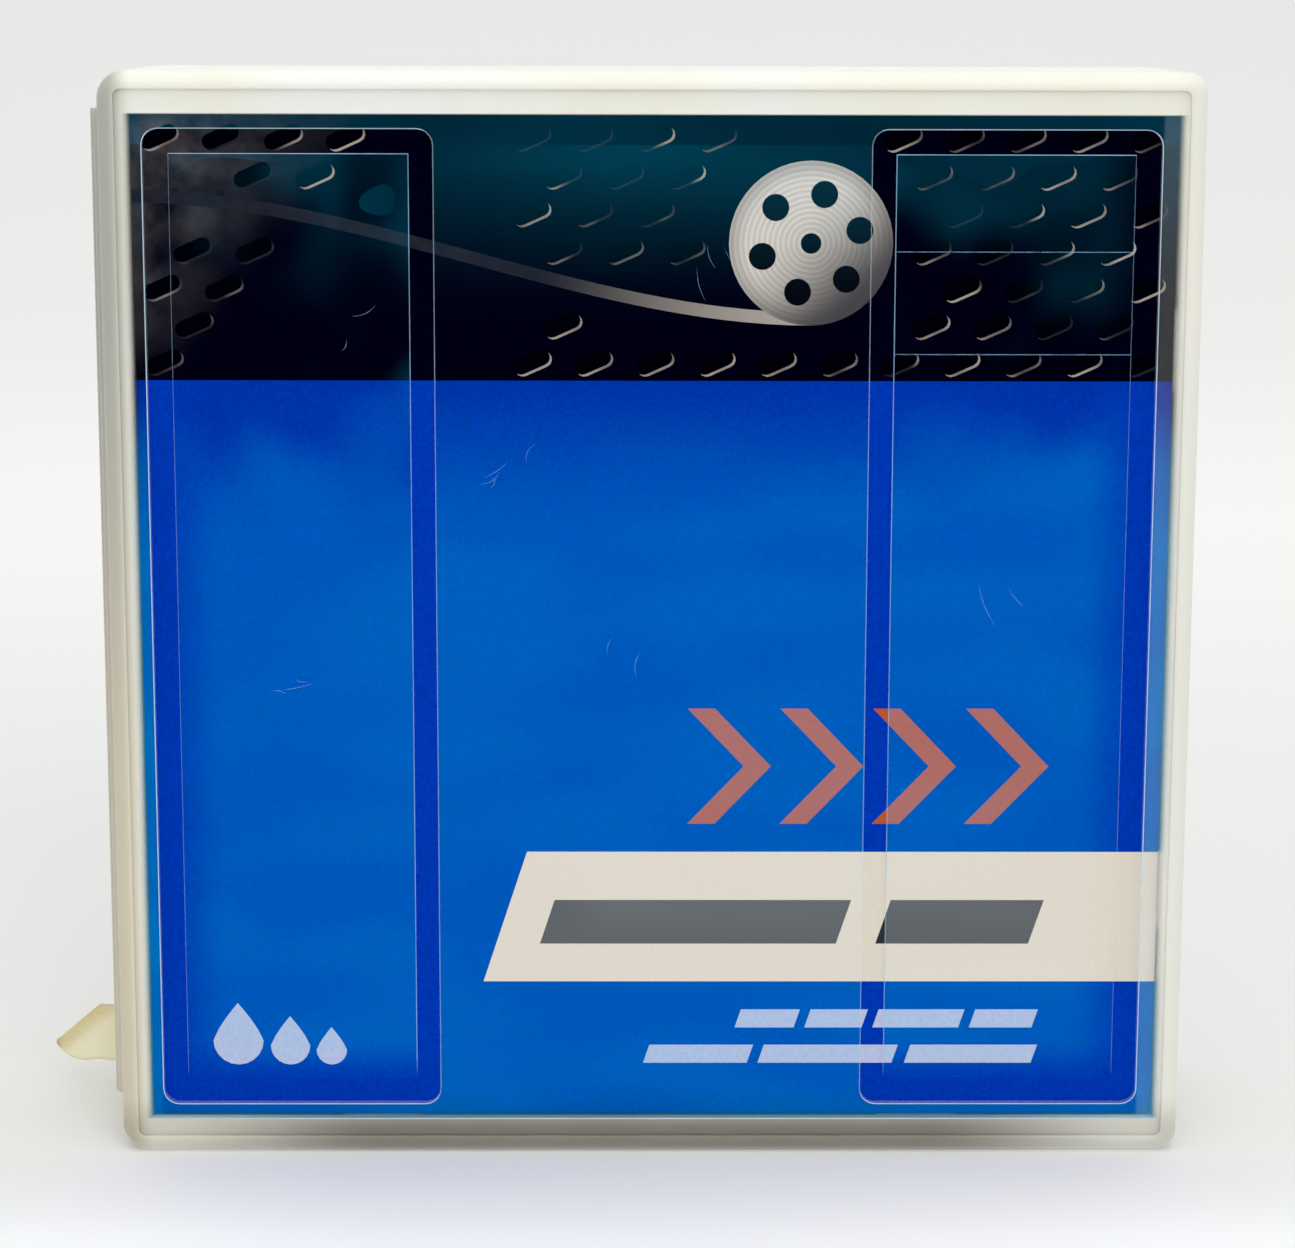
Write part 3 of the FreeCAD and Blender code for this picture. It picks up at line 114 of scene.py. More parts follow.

# Marks on the clear front, and widths of the painted highlight lines along its cut edges and the card's
# foot: scratches are groups of (middle x, middle z, count)
WINDOW_EDGE = 0.11
FLAP_EDGE = 0.09
CARD_HIGHLIGHT_WIDTH = 0.16
EDGE_RISE = 0.01
SCRATCHED = (
    (-14.0, 76.0, 4), (-41.0, 55.0, 3), (-3.0, 57.0, 2),
    (8.0, 97.0, 3), (40.0, 61.0, 2), (-30.0, 93.0, 2),
)
SCRATCH_SEED = 7
SCRATCH_WIDTH = 0.06
SCRATCH_LENGTHS = (0.8, 5.0)
CREASES = (100.3, 89.3)
CREASE_WIDTH = 0.1
MARK_RISE = 0.008

# Tape end: shoulder and tip start are shares of its length, fall and tip are shares of its height.
# Turns and skews are in radians over its length or height.
TAPE_SHOULDER = 0.5
TAPE_FALL = 0.66
TAPE_TIP = 0.26
TAPE_TIP_START = 0.8
TAPE_TIP_ROOM = 0.4
TAPE_FILM = 0.16
TAPE_LIFT = 0.3
TAPE_CURL = 0.9
TAPE_RIPPLE = 0.25
TAPE_RIPPLE_TURN = 9.0
TAPE_RIPPLE_SKEW = 2.0
TAPE_CRINKLE = 0.12
TAPE_CRINKLE_TURN = 17.0
TAPE_CRINKLE_SKEW = 5.0

# Print: the dark band with its glow, reel, strand and slots
INK_STEP = 0.012
BAND_BOTTOM = 86.4
GLOW_LEAN = 0.8
GLOW_FADE = (-150.0, -120.0)
GLOW_END = -50.0
REEL_X = 17.0
REEL_Z = 101.2
REEL_RADIUS = 8.8
REEL_RIM = 2.2
REEL_TURNS = 11.0
REEL_LIGHT_LEAN = 0.9
REEL_LIGHT = (-11.0, 5.0)
HOLE_COUNT = 6
FIRST_HOLE = 15
HOLE_CIRCLE = 5.4
HOLE_RADIUS = 1.45
HUB_RADIUS = 1.1
STRAND_RISE = 13.0
STRAND_HALF = 0.7
STRAND_LIT = 30.0
SLOT_FIELD = -14.0
SLOT_PITCH = 6.6
SLOT_ROW = 4.0
SLOT_MARGIN = 3.0
SLOT_CLEAR = 3.2
SLOT_LENGTH = 4.2
SLOT_WIDTH = 1.7
SLOT_TILT = math.radians(24.0)
GLINT_X = 0.22
GLINT_Z = -0.20

# Print: arrows, banner, word bars as rows of (foot, (left, length) of each bar), and drops as (x, radius)
ARROW_COUNT = 4
ARROW_LEFT = 4.0
ARROW_PITCH = 10.2
ARROW_BOTTOM = 37.3
ARROW_TOP = 50.3
ARROW_WIDTH = 3.0
ARROW_LEAN = 6.2
BANNER_BOTTOM = 19.25
BANNER_TOP = 34.1
BANNER_LEFT = -18.6
BANNER_LEAN = 4.9
BANNER_SLANT = BANNER_LEAN / (BANNER_TOP - BANNER_BOTTOM)
BANNER_BARS = ((-12.3, 20.6), (25.0, 42.0))
BANNER_BAR_BOTTOM = 23.6
BANNER_BAR_TOP = 28.6
WORD_ROWS = (
    (13.9, ((9.4, 6.6), (17.2, 6.4), (24.8, 9.6), (35.6, 7.0))),
    (9.8, ((-0.8, 11.6), (12.0, 15.0), (28.4, 14.2))),
)
WORD_HEIGHT = 2.1
DROPS = ((-46.0, 2.8), (-40.2, 2.2), (-35.6, 1.7))
DROP_FOOT = 9.6

# Wound tape: how fast the wave of its turns runs along the radius
WOUND_TURNS = 14.0

# Painted light pool on the floor in front of the case, with painted shade towards the case's foot
POOL_FRONT = -75.0
POOL_FULL = -40.0
POOL_BACK = -15.0
POOL_SIDE = 90.0
POOL_SOFT = 40.0
POOL_GLOW_FRONT = -64.0
POOL_GLOW_BACK = -16.0

# Stretches over which the floor changes: behind the case, at the backdrop, and as mirrors see it
FLOOR_PALE = (60.0, 500.0)
BACKDROP = (900.0, 1700.0)
MIRROR_NEAR_EDGE = (-760.0, -380.0)
MIRROR_FAR_EDGE = (-2400.0, -1000.0)
MIRROR_LEFT = (-350.0, 50.0)
MIRROR_RIGHT = (50.0, 350.0)

# Strengths of the floor's painted glows and of the world
FLOOR_BOUNCE = 0.78
FLOOR_GLOW = 0.06
POOL_GLOW = 0.20
MIRRORED_NEAR = 0.95
MIRRORED_FAR = 0.55
WORLD_LIGHT = 0.60
WORLD_SEEN = 0.86

# Lamps: place, aim, diameter and power, in metres and watts
LAMPS = {
    "overhead": ((0.0, -0.1, 1.3), (0.0, 0.0, 0.05), 1.6, 5.0),
    "near_top": ((0.0, -0.30, 0.43), (0.0, 0.0, 0.11), 0.4, 0.3),
    "front": ((0.4, -1.6, 1.0), (0.0, 0.0, 0.06), 1.2, 8.2),
}


def srgb(red, green, blue):
    """A display colour, 0 to 255, as the linear colour that a shader takes."""
    shares = [value / 255 for value in (red, green, blue)]
    linear = [s / 12.92 if s <= 0.04045 else ((s + 0.055) / 1.055) ** 2.4 for s in shares]
    return (*linear, 1.0)


def shaded(colour, share):
    """A colour made darker or lighter by a share, no lighter than white."""
    return [min(1.0, channel * share) for channel in colour[:3]] + [1.0]


class Look:
    """One procedural material: its main shader, and short ways to add nodes to it."""

    def __init__(self, name):
        self.material = bpy.data.materials.new(name)
        self.material.use_nodes = True
        self.tree = self.material.node_tree
        self.shader = self.tree.nodes["Principled BSDF"]
        self.surface = self.tree.nodes["Material Output"].inputs["Surface"]
        self.coordinates = self.add("TexCoord")
        scaled = self.add("VectorMath", operation="SCALE")
        self.feed(scaled.inputs[0], self.coordinates.outputs["Object"])
        scaled.inputs["Scale"].default_value = 1 / MM
        self.place = scaled.outputs[0]

    def add(self, kind, **settings):
        node = self.tree.nodes.new("ShaderNode" + kind)
        for key, value in settings.items():
            setattr(node, key, value)
        return node

    def feed(self, socket, value):
        """Links a socket to another, or sets it to a plain value."""
        if isinstance(value, bpy.types.NodeSocket):
            self.tree.links.new(value, socket)
        else:
            socket.default_value = value

    def set(self, **values):
        """Sets inputs of the main shader: base_color stands for Base Color, and so on."""
        for name, value in values.items():
            words = name.replace("_", " ").title().replace("Ior", "IOR")
            self.feed(self.shader.inputs[words], value)

    def axes(self, vector=None):
        node = self.add("SeparateXYZ")
        self.feed(node.inputs[0], vector or self.place)
        return node.outputs

    def math(self, operation, first, second=0.0):
        node = self.add("Math", operation=operation)
        self.feed(node.inputs[0], first)
        self.feed(node.inputs[1], second)
        return node.outputs[0]

    def minus(self, first, second):
        return self.math("SUBTRACT", first, second)

    def times(self, first, *others):
        for other in others:
            first = self.math("MULTIPLY", first, other)
        return first

    def step(self, source, low, high, start=0.0, end=1.0):
        """A smooth step from start to end while the source goes from low to high."""
        node = self.add("MapRange", interpolation_type="SMOOTHSTEP")
        for name, value in zip(("From Min", "From Max", "To Min", "To Max"), (low, high, start, end)):
            self.feed(node.inputs[name], value)
        self.feed(node.inputs["Value"], source)
        return node.outputs[0]

    def within(self, source, low, high, soft):
        """1 between low and high, 0 outside, with soft ends."""
        rising = self.step(source, low - soft, low + soft)
        falling = self.step(source, high - soft, high + soft, 1.0, 0.0)
        return self.times(rising, falling)

    def mix(self, factor, first, second):
        """Colours mixed by a factor."""
        node = self.add("Mix", data_type="RGBA")
        self.feed(node.inputs[0], factor)
        self.feed(node.inputs[6], first)
        self.feed(node.inputs[7], second)
        return node.outputs[2]

    def lerp(self, factor, first, second):
        """Numbers mixed by a factor."""
        node = self.add("Mix", data_type="FLOAT")
        self.feed(node.inputs[0], factor)
        self.feed(node.inputs[2], first)
        self.feed(node.inputs[3], second)
        return node.outputs[0]

    def layer(self, factor, first, second):
        """Shaders mixed by a factor."""
        node = self.add("MixShader")
        self.feed(node.inputs[0], factor)
        self.feed(node.inputs[1], first)
        self.feed(node.inputs[2], second)
        return node.outputs[0]

    def noise(self, size, detail=3.0, stretch=(1.0, 1.0, 1.0)):
        """Noise whose patches are about that many millimetres across, longer where stretched."""
        mapping = self.add("Mapping")
        self.feed(mapping.inputs["Vector"], self.place)
        mapping.inputs["Scale"].default_value = [1 / (size * share) for share in stretch]
        texture = self.add("TexNoise")
        texture.inputs["Scale"].default_value = 1.0
        texture.inputs["Detail"].default_value = detail
        self.feed(texture.inputs["Vector"], mapping.outputs[0])
        return texture.outputs["Fac"]

    def bump(self, height, depth):
        """A bump normal of that depth in millimetres."""
        node = self.add("Bump")
        node.inputs["Strength"].default_value = 1.0
        node.inputs["Distance"].default_value = depth * MM
        self.feed(node.inputs["Height"], height)
        return node.outputs[0]


def mottled(look, colour, size, amount):
    """A colour that drifts a little lighter and darker in patches of that size."""
    patches = look.step(look.noise(size), 0.3, 0.7)
    return look.mix(patches, shaded(colour, 1 - amount), shaded(colour, 1 + amount))


# Materials of the case

def milky_wall(look):
    """The milky moulded wall: light spreads in it, with faint flow clouds, and painted shade that greys its
    ends and its foot.
    """
    x, _, z = look.axes()
    cloud = look.step(look.noise(18.0, detail=2.0, stretch=(1.0, 1.0, 2.5)), 0.3, 0.7)
    milk = look.mix(cloud, srgb(243, 242, 228), srgb(250, 250, 241))
    # Painted shade on the ends: the left end is greyer and darker higher up, and the right end a little
    # darker
    end_shade = look.mix(look.step(z, SHADED_END_LOW, SHADED_END_HIGH), srgb(210, 201, 175), srgb(170, 170, 162))
    left = look.step(x, -SHADED_END_EDGE - SHADED_END_SOFT, -SHADED_END_EDGE + SHADED_END_SOFT, 0.85, 0.0)
    right = look.step(x, SHADED_END_EDGE - SHADED_END_SOFT, SHADED_END_EDGE + SHADED_END_SOFT, 0.0, 0.8)
    milk = look.mix(left, milk, end_shade)
    milk = look.mix(right, milk, srgb(236, 235, 226))
    # Painted shade along the foot: grey low down, strongest in the middle of its length
    middle = look.step(look.math("ABSOLUTE", x), FOOT_SHADE_MIDDLE, FOOT_SHADE_END, 1.0, 0.35)
    foot = look.times(middle, look.step(z, FOOT_SHADE_FULL, FOOT_SHADE_TOP, FOOT_SHADE_STRENGTH, 0.0))
    look.set(base_color=look.mix(foot, milk, srgb(98, 91, 80)))
    look.set(roughness=look.lerp(look.noise(3.0, detail=2.0), 0.30, 0.45))
    look.set(normal=look.bump(look.noise(0.8, detail=1.0), depth=0.006))
    look.set(subsurface_weight=0.8, subsurface_radius=(1.0, 1.0, 0.85), subsurface_scale=LIGHT_SPREAD * MM)
    look.set(transmission_weight=0.08, ior=1.49, specular_ior_level=0.3)


def tray_look():
    look = Look("milky_polypropylene")
    milky_wall(look)
    return look.material


def panel_shine(look, flap, fresnel, oblique):
    """Strength of the panel's mirror: it fades where the flaps bow and is highest outside the windows."""
    x, _, z = look.axes()
    out = look.math("ABSOLUTE", x)
    bowed = look.times(
        look.step(out, FLAP_OUTSIDE - FLAP_FADE, FLAP_OUTSIDE, 1.0, 0.35),
        look.step(z, FLAP_BOTTOM, FLAP_BOTTOM + FLAP_FADE, 0.1, 1.0),
    )
    strip = look.step(out, WINDOW_OUTSIDE, WINDOW_OUTSIDE + STRIP_SOFT)
    strength = look.times(look.lerp(flap, 1.0, bowed), look.lerp(strip, 1.0, STRIP_SHINE))
    smear = look.step(look.noise(9.0, detail=0.0, stretch=(2.0, 1.0, 0.7)), 0.3, 0.7, 0.85, 1.1)
    outside = look.minus(1.0, look.add("NewGeometry").outputs["Backfacing"])
    shine = look.lerp(oblique, PANEL_SHINE, OBLIQUE_SHINE)
    return look.times(fresnel, shine, outside, smear, strength)


def panel_gloss(look, flap, oblique):
    """The panel's mirror: blue over the blue print, pale over the banner, and waved on the flaps."""
    x, _, z = look.axes()
    lean = look.minus(x, look.times(look.minus(z, BANNER_BOTTOM), BANNER_SLANT))
    seen = look.minus(z, look.lerp(flap, PANEL_SHIFT, FLAP_SHIFT))
    banner = look.times(
        look.within(seen, BANNER_BOTTOM, BANNER_TOP, BANNER_SOFT),
        look.step(lean, BANNER_LEFT - BANNER_SOFT, BANNER_LEFT + BANNER_SOFT),
    )
    tint = look.mix(banner, BLUE_GLOSS, BANNER_GLOSS)
    gloss = look.add("BsdfGlossy")
    gloss.inputs["Roughness"].default_value = 0.0
    look.feed(gloss.inputs["Color"], look.mix(oblique, tint, OBLIQUE_GLOSS))
    waves = look.times(flap, look.noise(FLAP_WAVE, detail=1.0, stretch=(1.0, 1.0, 1.6)))
    look.feed(gloss.inputs["Normal"], look.bump(waves, FLAP_WAVE_DEPTH))
    return gloss.outputs[0]


def clear_front(look):
    """Shader of the panel and its flaps: clear film, hazy at its cut edges, with a mirror on its front."""
    x, y, z = look.axes()
    facing = look.axes(look.coordinates.outputs["Normal"])[1]
    front = look.step(facing, -0.7, -0.4, 1.0, 0.0)
    edge = look.step(look.math("ABSOLUTE", facing), 0.4, 0.7, 1.0, 0.0)
    flap = look.step(y, FLAP_FRONT - SHARP, FLAP_FRONT + SHARP)
    bridge = look.times(flap, look.minus(1.0, look.within(z, FLAP_BOTTOM, FLAP_TOP, SHARP)))

    film = look.add("BsdfTransparent").outputs[0]
    haze = look.add("BsdfDiffuse")
    haze.inputs["Color"].default_value = srgb(238, 242, 242)
    flap_foot = look.times(flap, look.step(z, FLAP_BOTTOM + 0.3, FLAP_BOTTOM + 0.6, 1.0, 0.0))
    hazy = look.times(look.minus(1.0, look.math("MAXIMUM", bridge, flap_foot)), edge, EDGE_HAZE)
    right_strip = look.step(x, WINDOW_OUTSIDE, WINDOW_OUTSIDE + STRIP_SOFT)
    dulled = look.times(front, right_strip, STRIP_HAZE)
    veiled = look.layer(look.math("MAXIMUM", hazy, dulled), film, haze.outputs[0])

    fresnel = look.add("Fresnel")
    fresnel.inputs["IOR"].default_value = PANEL_IOR
    oblique = look.step(fresnel.outputs[0], OBLIQUE_START, OBLIQUE_FULL)
    shine = panel_shine(look, flap, fresnel.outputs[0], oblique)
    mirror = look.times(shine, front, look.minus(1.0, bridge))
    shining = look.layer(mirror, veiled, panel_gloss(look, flap, oblique))

    path = look.add("LightPath").outputs
    lit = look.math("MAXIMUM", path["Is Shadow Ray"], path["Is Diffuse Ray"])
    return look.layer(lit, shining, film)


def cover_look(card_low, card_high):
    """Milky like the tray, and clear where the panel and its flaps lie over the card."""
    look = Look("milky_and_clear_polypropylene")
    milky_wall(look)
    x, y, z = look.axes()
    low, high = card_low / MM, card_high / MM
    clear = look.times(
        look.within(x, low.x - CLEAR_SPREAD, high.x + CLEAR_SPREAD, CLEAR_SOFT),
        look.within(z, low.z, high.z, CLEAR_END_SOFT),
        look.step(y, CLEAR_BACK - SHARP, CLEAR_BACK + SHARP, 1.0, 0.0),
    )
    look.feed(look.surface, look.layer(clear, look.shader.outputs[0], clear_front(look)))
    return look.material


def edge_highlight_look():
    """Cut edge of a window, frosted, and the card's foot, both drawn as a painted highlight line that is
    fainter along the windows' inner sides.
    """
    look = Look("frosted_edge_highlight")
    x, _, z = look.axes()
    # Painted highlight strength: full on the windows' outer sides and feet, fainter on their inner sides
    # and tops
    outer = look.step(look.math("ABSOLUTE", x), WINDOW_OUTSIDE - 1.5, WINDOW_OUTSIDE, 0.25, 1.0)
    upper = look.step(z, WINDOW_TOP - 0.2, WINDOW_TOP, outer, 0.6)
    share = look.step(z, WINDOW_BOTTOM - 0.1, WINDOW_BOTTOM + 1.5, 1.0, upper)
    look.set(base_color=mottled(look, srgb(206, 234, 255), 2.0, 0.04), roughness=0.5)
    look.set(alpha=look.times(share, look.lerp(look.noise(5.0), 0.5, 0.85)))
    return look.material


def flap_edge_highlight_look():
    """Cut edge of a flap, frosted, drawn as a painted highlight line: fainter than a window's, and faintest
    on its outer side and at its foot.
    """
    look = Look("frosted_flap_edge_highlight")
    x, _, z = look.axes()
    # Painted highlight strength: brightest along the flap's top, strong on its inner side, faint on its
    # outer side and gone at its foot
    inner = look.step(look.math("ABSOLUTE", x), FLAP_MIDDLE - 2.0, FLAP_MIDDLE + 2.0, 1.0, 0.2)
    side = look.times(inner, look.step(z, FLAP_BOTTOM + FLAP_EDGE, FLAP_BOTTOM + 3.0, 0.0, 0.8))
    share = look.step(z, FLAP_TOP - 2 * FLAP_EDGE, FLAP_TOP - FLAP_EDGE, side, 1.2)
    look.set(base_color=mottled(look, srgb(160, 210, 250), 2.0, 0.04), roughness=0.5)
    look.set(alpha=look.times(look.lerp(look.noise(6.0), 0.2, 0.8), share))
    return look.material


def mark_look():
    """Scratched plastic: pale strokes that come and go."""
    look = Look("scratched_plastic")
    look.set(base_color=mottled(look, srgb(150, 205, 250), 1.0, 0.05), roughness=0.5)
    look.set(alpha=look.lerp(look.noise(1.2), 0.0, 0.5))
    return look.material


def old_tape_look(slope_start, slope):
    """Aged adhesive tape: pale straw film, amber along its torn slope and in its creases."""
    look = Look("aged_tape")
    x, _, z = look.axes()
    below = look.minus(look.times(look.minus(x, slope_start[0]), slope), z)
    below = look.math("ADD", below, slope_start[1])
    crease = look.step(look.noise(2.6, detail=4.0, stretch=(1.4, 1.0, 0.8)), 0.55, 0.8)
    torn = look.step(below, 0.4, 3.2, 0.6, 0.0)
    amber = look.math("MAXIMUM", torn, look.times(crease, 0.6))
    look.set(base_color=look.mix(amber, srgb(250, 245, 208), srgb(214, 190, 112)))
    look.set(roughness=look.lerp(look.noise(1.5), 0.22, 0.45))
    look.set(normal=look.bump(look.noise(1.3, detail=4.0), depth=0.06))
    look.set(alpha=look.lerp(crease, 0.72, 0.92))
    return look.material


# Materials of the card and its print

def ink_finish(look):
    """The dull, slightly uneven skin of print under a cover."""
    look.set(roughness=look.lerp(look.noise(2.0, detail=1.0), 0.5, 0.65), specular_ior_level=0.0)
    look.set(normal=look.bump(look.noise(0.3, detail=2.0), depth=0.002))


def card_look(card_low):
    """Coated card: deep blue print on the front, white board behind and on the cut edges."""
    look = Look("printed_card")
    y = look.axes()[1]
    face = card_low.y / MM
    front = look.step(y, face + 0.02, face + 0.06, 1.0, 0.0)
    blue = mottled(look, srgb(0, 55, 178), 0.35, 0.12)
    board = mottled(look, srgb(226, 224, 216), 1.5, 0.05)
    look.set(base_color=look.mix(front, board, blue))
    ink_finish(look)
    return look.material


def ink_look(name, colour, amount=0.05):
    look = Look(name)
    look.set(base_color=mottled(look, colour, 0.5, amount))
    ink_finish(look)
    return look.material


def band_look():
    """Near-black ink with a soft grey glow that leans across its left end."""
    look = Look("ink_band")
    x, _, z = look.axes()
    lean = look.math("ADD", x, look.times(z, -GLOW_LEAN))
    patches = look.step(look.noise(6.0, detail=5.0), 0.25, 0.8)
    glow = look.times(look.step(lean, *GLOW_FADE, 1.0, 0.0), patches)
    dark = look.mix(look.noise(0.45, detail=2.0), srgb(0, 0, 12), srgb(2, 2, 26))
    look.set(base_color=look.mix(glow, dark, srgb(112, 110, 112)))
    ink_finish(look)
    return look.material


def glint_look():
    """Ink of the slots' lit edges, bright in places and sunk into the dark elsewhere."""
    look = Look("ink_glint")
    lit = look.step(look.noise(9.0, detail=2.0), 0.42, 0.64)
    look.set(base_color=look.mix(lit, srgb(34, 34, 42), srgb(168, 156, 148)))
    ink_finish(look)
    return look.material


def reel_look():
    """Ink of the printed reel: fine turns, lit from the upper left and in shade at the lower right."""
    look = Look("ink_reel")
    x, _, z = look.axes()
    across = look.minus(x, REEL_X)
    rise = look.minus(z, REEL_Z)
    radius = look.math("POWER", look.math("ADD", look.times(across, across), look.times(rise, rise)), 0.5)
    turns = look.step(look.math("SINE", look.times(radius, REEL_TURNS)), -1.0, 1.0)
    facing = look.step(look.minus(rise, look.times(across, REEL_LIGHT_LEAN)), *REEL_LIGHT)
    rim = look.step(radius, REEL_RADIUS - REEL_RIM, REEL_RADIUS, 1.0, 0.6)
    cream = look.mix(turns, srgb(206, 200, 192), srgb(226, 220, 210))
    look.set(base_color=look.mix(look.times(facing, rim), srgb(74, 72, 76), cream))
    ink_finish(look)
    return look.material


def strand_look():
    """Ink of the printed tape that runs off the reel: lit at first, then lost in the dark."""
    look = Look("ink_strand")
    x = look.axes()[0]
    near = look.step(x, REEL_X - STRAND_LIT, REEL_X)
    shade = look.mix(look.noise(1.2), srgb(24, 24, 38), srgb(44, 44, 54))
    look.set(base_color=look.mix(near, shade, srgb(176, 168, 160)))
    ink_finish(look)
    return look.material


# Materials of the cartridge

def moulded_look(name, colour, roughness, grain=0.35, depth=0.012):
    """Moulded plastic: fine spark-eroded grain, slight colour drift and rubbed patches."""
    look = Look(name)
    rubbed = look.step(look.noise(7.0, detail=5.0), 0.55, 0.75)
    look.set(base_color=mottled(look, colour, 9.0, 0.08))
    look.set(roughness=look.lerp(rubbed, roughness, roughness * 0.75))
    look.set(normal=look.bump(look.noise(grain, detail=2.0), depth))
    return look.material


def steel_look(name, colour, stretch):
    """Bright steel with a fine grain, which is drawn out along the axis that is stretched."""
    look = Look(name)
    lines = look.noise(0.25, stretch=stretch)
    look.set(base_color=mottled(look, colour, 2.0, 0.08), metallic=1.0)
    look.set(roughness=look.lerp(lines, 0.22, 0.40))
    look.set(normal=look.bump(lines, depth=0.003))
    return look.material


def wound_look(name, colour, centre):
    """Tape wound on its hub: fine turns seen edge-on, a little uneven."""
    look = Look(name)
    shifted = look.add("VectorMath", operation="SUBTRACT")
    look.feed(shifted.inputs[0], look.place)
    shifted.inputs[1].default_value = centre
    flat = look.add("VectorMath", operation="MULTIPLY")
    look.feed(flat.inputs[0], shifted.outputs[0])
    flat.inputs[1].default_value = (1.0, 0.0, 1.0)
    radius = look.add("VectorMath", operation="LENGTH")
    look.feed(radius.inputs[0], flat.outputs[0])
    turns = look.math("SINE", look.times(radius.outputs["Value"], WOUND_TURNS))
    shade = look.step(turns, -1.0, 1.0)
    look.set(base_color=look.mix(shade, shaded(colour, 0.75), colour))
    look.set(roughness=look.lerp(look.noise(4.0), 0.28, 0.42))
    look.set(normal=look.bump(shade, depth=0.02))
    return look.material


def dress_nodes(card_low, card_high):
    """Gives each CAD node its material."""
    reel_low, reel_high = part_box("tape_pack")
    reel_centre = (reel_low + reel_high) / 2 / MM
    shells = ["cartridge_lower_shell", "cartridge_upper_shell"]
    levers = ["thrust_button", "reel_lock_left", "reel_lock_right", "door_lock"]
    springs = ["reel_spring", "lock_spring_left", "lock_spring_right", "door_pin", "door_spring"]
    looks = [
        (tray_look(), ["case_tray"]),
        (cover_look(card_low, card_high), ["case_cover"]),
        (card_look(card_low), ["insert_card"]),
        (moulded_look("charcoal_shell", srgb(52, 54, 57), 0.55), shells),
        (moulded_look("charcoal_door", srgb(46, 48, 51), 0.48), ["tape_door"]),
        (steel_look("screw_steel", srgb(186, 186, 182), (1, 1, 1)), ["shell_screws"]),
        (moulded_look("reel_white", srgb(224, 224, 216), 0.42), ["reel_hub", "reel_upper_flange"]),
        (wound_look("wound_tape", srgb(92, 74, 58), reel_centre), ["tape_pack"]),
        (moulded_look("leader_film", srgb(40, 40, 44), 0.25, grain=2.0, depth=0.004), ["tape_leader"]),
        (moulded_look("lever_white", srgb(214, 212, 204), 0.45), levers),
        (steel_look("spring_steel", srgb(170, 170, 170), (1, 6, 1)), springs),
        (moulded_look("switch_orange", srgb(214, 96, 34), 0.45), ["write_protect_switch"]),
    ]
    for material, names in looks:
        for name in names:
            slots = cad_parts[name].data.materials
            slots.clear()
            slots.append(material)


# Outlines of (x, z) points

def rectangle(left, right, bottom, top):
    return [(left, bottom), (right, bottom), (right, top), (left, top)]


def round_rectangle(left, right, bottom, top, radius, points=6):
    """Outline with rounded corners, from the lower right corner round to the left."""
    outline = []
    corners = ((right, bottom, -90), (right, top, 0), (left, top, 90), (left, bottom, 180))
    for x, z, start in corners:
        middle_x = x - radius if x == right else x + radius
        middle_z = z - radius if z == top else z + radius
        for i in range(points):
            turn = math.radians(start + 90 * i / (points - 1))
            outline.append((middle_x + radius * math.cos(turn), middle_z + radius * math.sin(turn)))
    return outline


def slanted(left, right, bottom, top):
    """A bar whose ends lean to the right as the banner's does: left and right are given at its foot."""
    lean = (top - bottom) * BANNER_SLANT
    return [(left, bottom), (right, bottom), (right + lean, top), (left + lean, top)]


def capsule(x, z, length, width, angle, points=7):
    """A bar with round ends, turned by an angle."""
    outline = []
    half = (length - width) / 2
    for side in (1, -1):
        for i in range(points):
            turn = math.pi * (i / (points - 1) - 0.5) + (0 if side > 0 else math.pi)
            along = side * half + width / 2 * math.cos(turn)
            across = width / 2 * math.sin(turn)
            outline.append((
                x + along * math.cos(angle) - across * math.sin(angle),
                z + along * math.sin(angle) + across * math.cos(angle),
            ))
    return outline


def chevron(x, bottom, top, width, lean):
    """An open arrow head that points right."""
    middle = (bottom + top) / 2
    return [
        (x, bottom), (x + width, bottom), (x + width + lean, middle),
        (x + width, top), (x, top), (x + lean, middle),
    ]


def drop(x, z, radius, points=20):
    """A drop: round below, drawn to a point above."""
    pinch, stretch = 0.55, 1.55
    outline = []
    for i in range(points):
        turn = 2 * math.pi * i / points
        rise = math.cos(turn)
        width = math.sin(turn) * (1.0 if rise < 0 else (1 - rise) ** pinch)
        outline.append((x + radius * width, z + radius * (rise if rise < 0 else stretch * rise)))
    return outline


def disc(x, z, radius, points=48):
    turns = [2 * math.pi * i / points for i in range(points)]
    return [(x + radius * math.cos(turn), z + radius * math.sin(turn)) for turn in turns]


def scratch(x, z, length, angle, bend, points=7):
    """A fine curved stroke that thins out at both ends."""
    upper, lower = [], []
    for i in range(points):
        share = 2 * i / (points - 1) - 1
        along = share * length / 2
        across = bend * (1 - share ** 2)
        half = SCRATCH_WIDTH / 2 * (1 - 0.9 * share ** 2)
        for side, row in ((half, upper), (-half, lower)):
            row.append((
                x + along * math.cos(angle) - (across + side) * math.sin(angle),
                z + along * math.sin(angle) + (across + side) * math.cos(angle),
            ))
    return lower + upper[::-1]


def strand_middle(x, left):
    """Height of the printed tape: level under the reel, then rising to the left edge."""
    share = max(0.0, (REEL_X - x) / (REEL_X - left))
    return REEL_Z - REEL_RADIUS + STRAND_HALF + STRAND_RISE * share ** 2 * (3 - 2 * share)


def strand_outline(left, steps=32):
    xs = [left + (REEL_X - left) * i / steps for i in range(steps + 1)]
    lower = [(x, strand_middle(x, left) - STRAND_HALF) for x in xs]
    upper = [(x, strand_middle(x, left) + STRAND_HALF) for x in reversed(xs)]
    return lower + upper


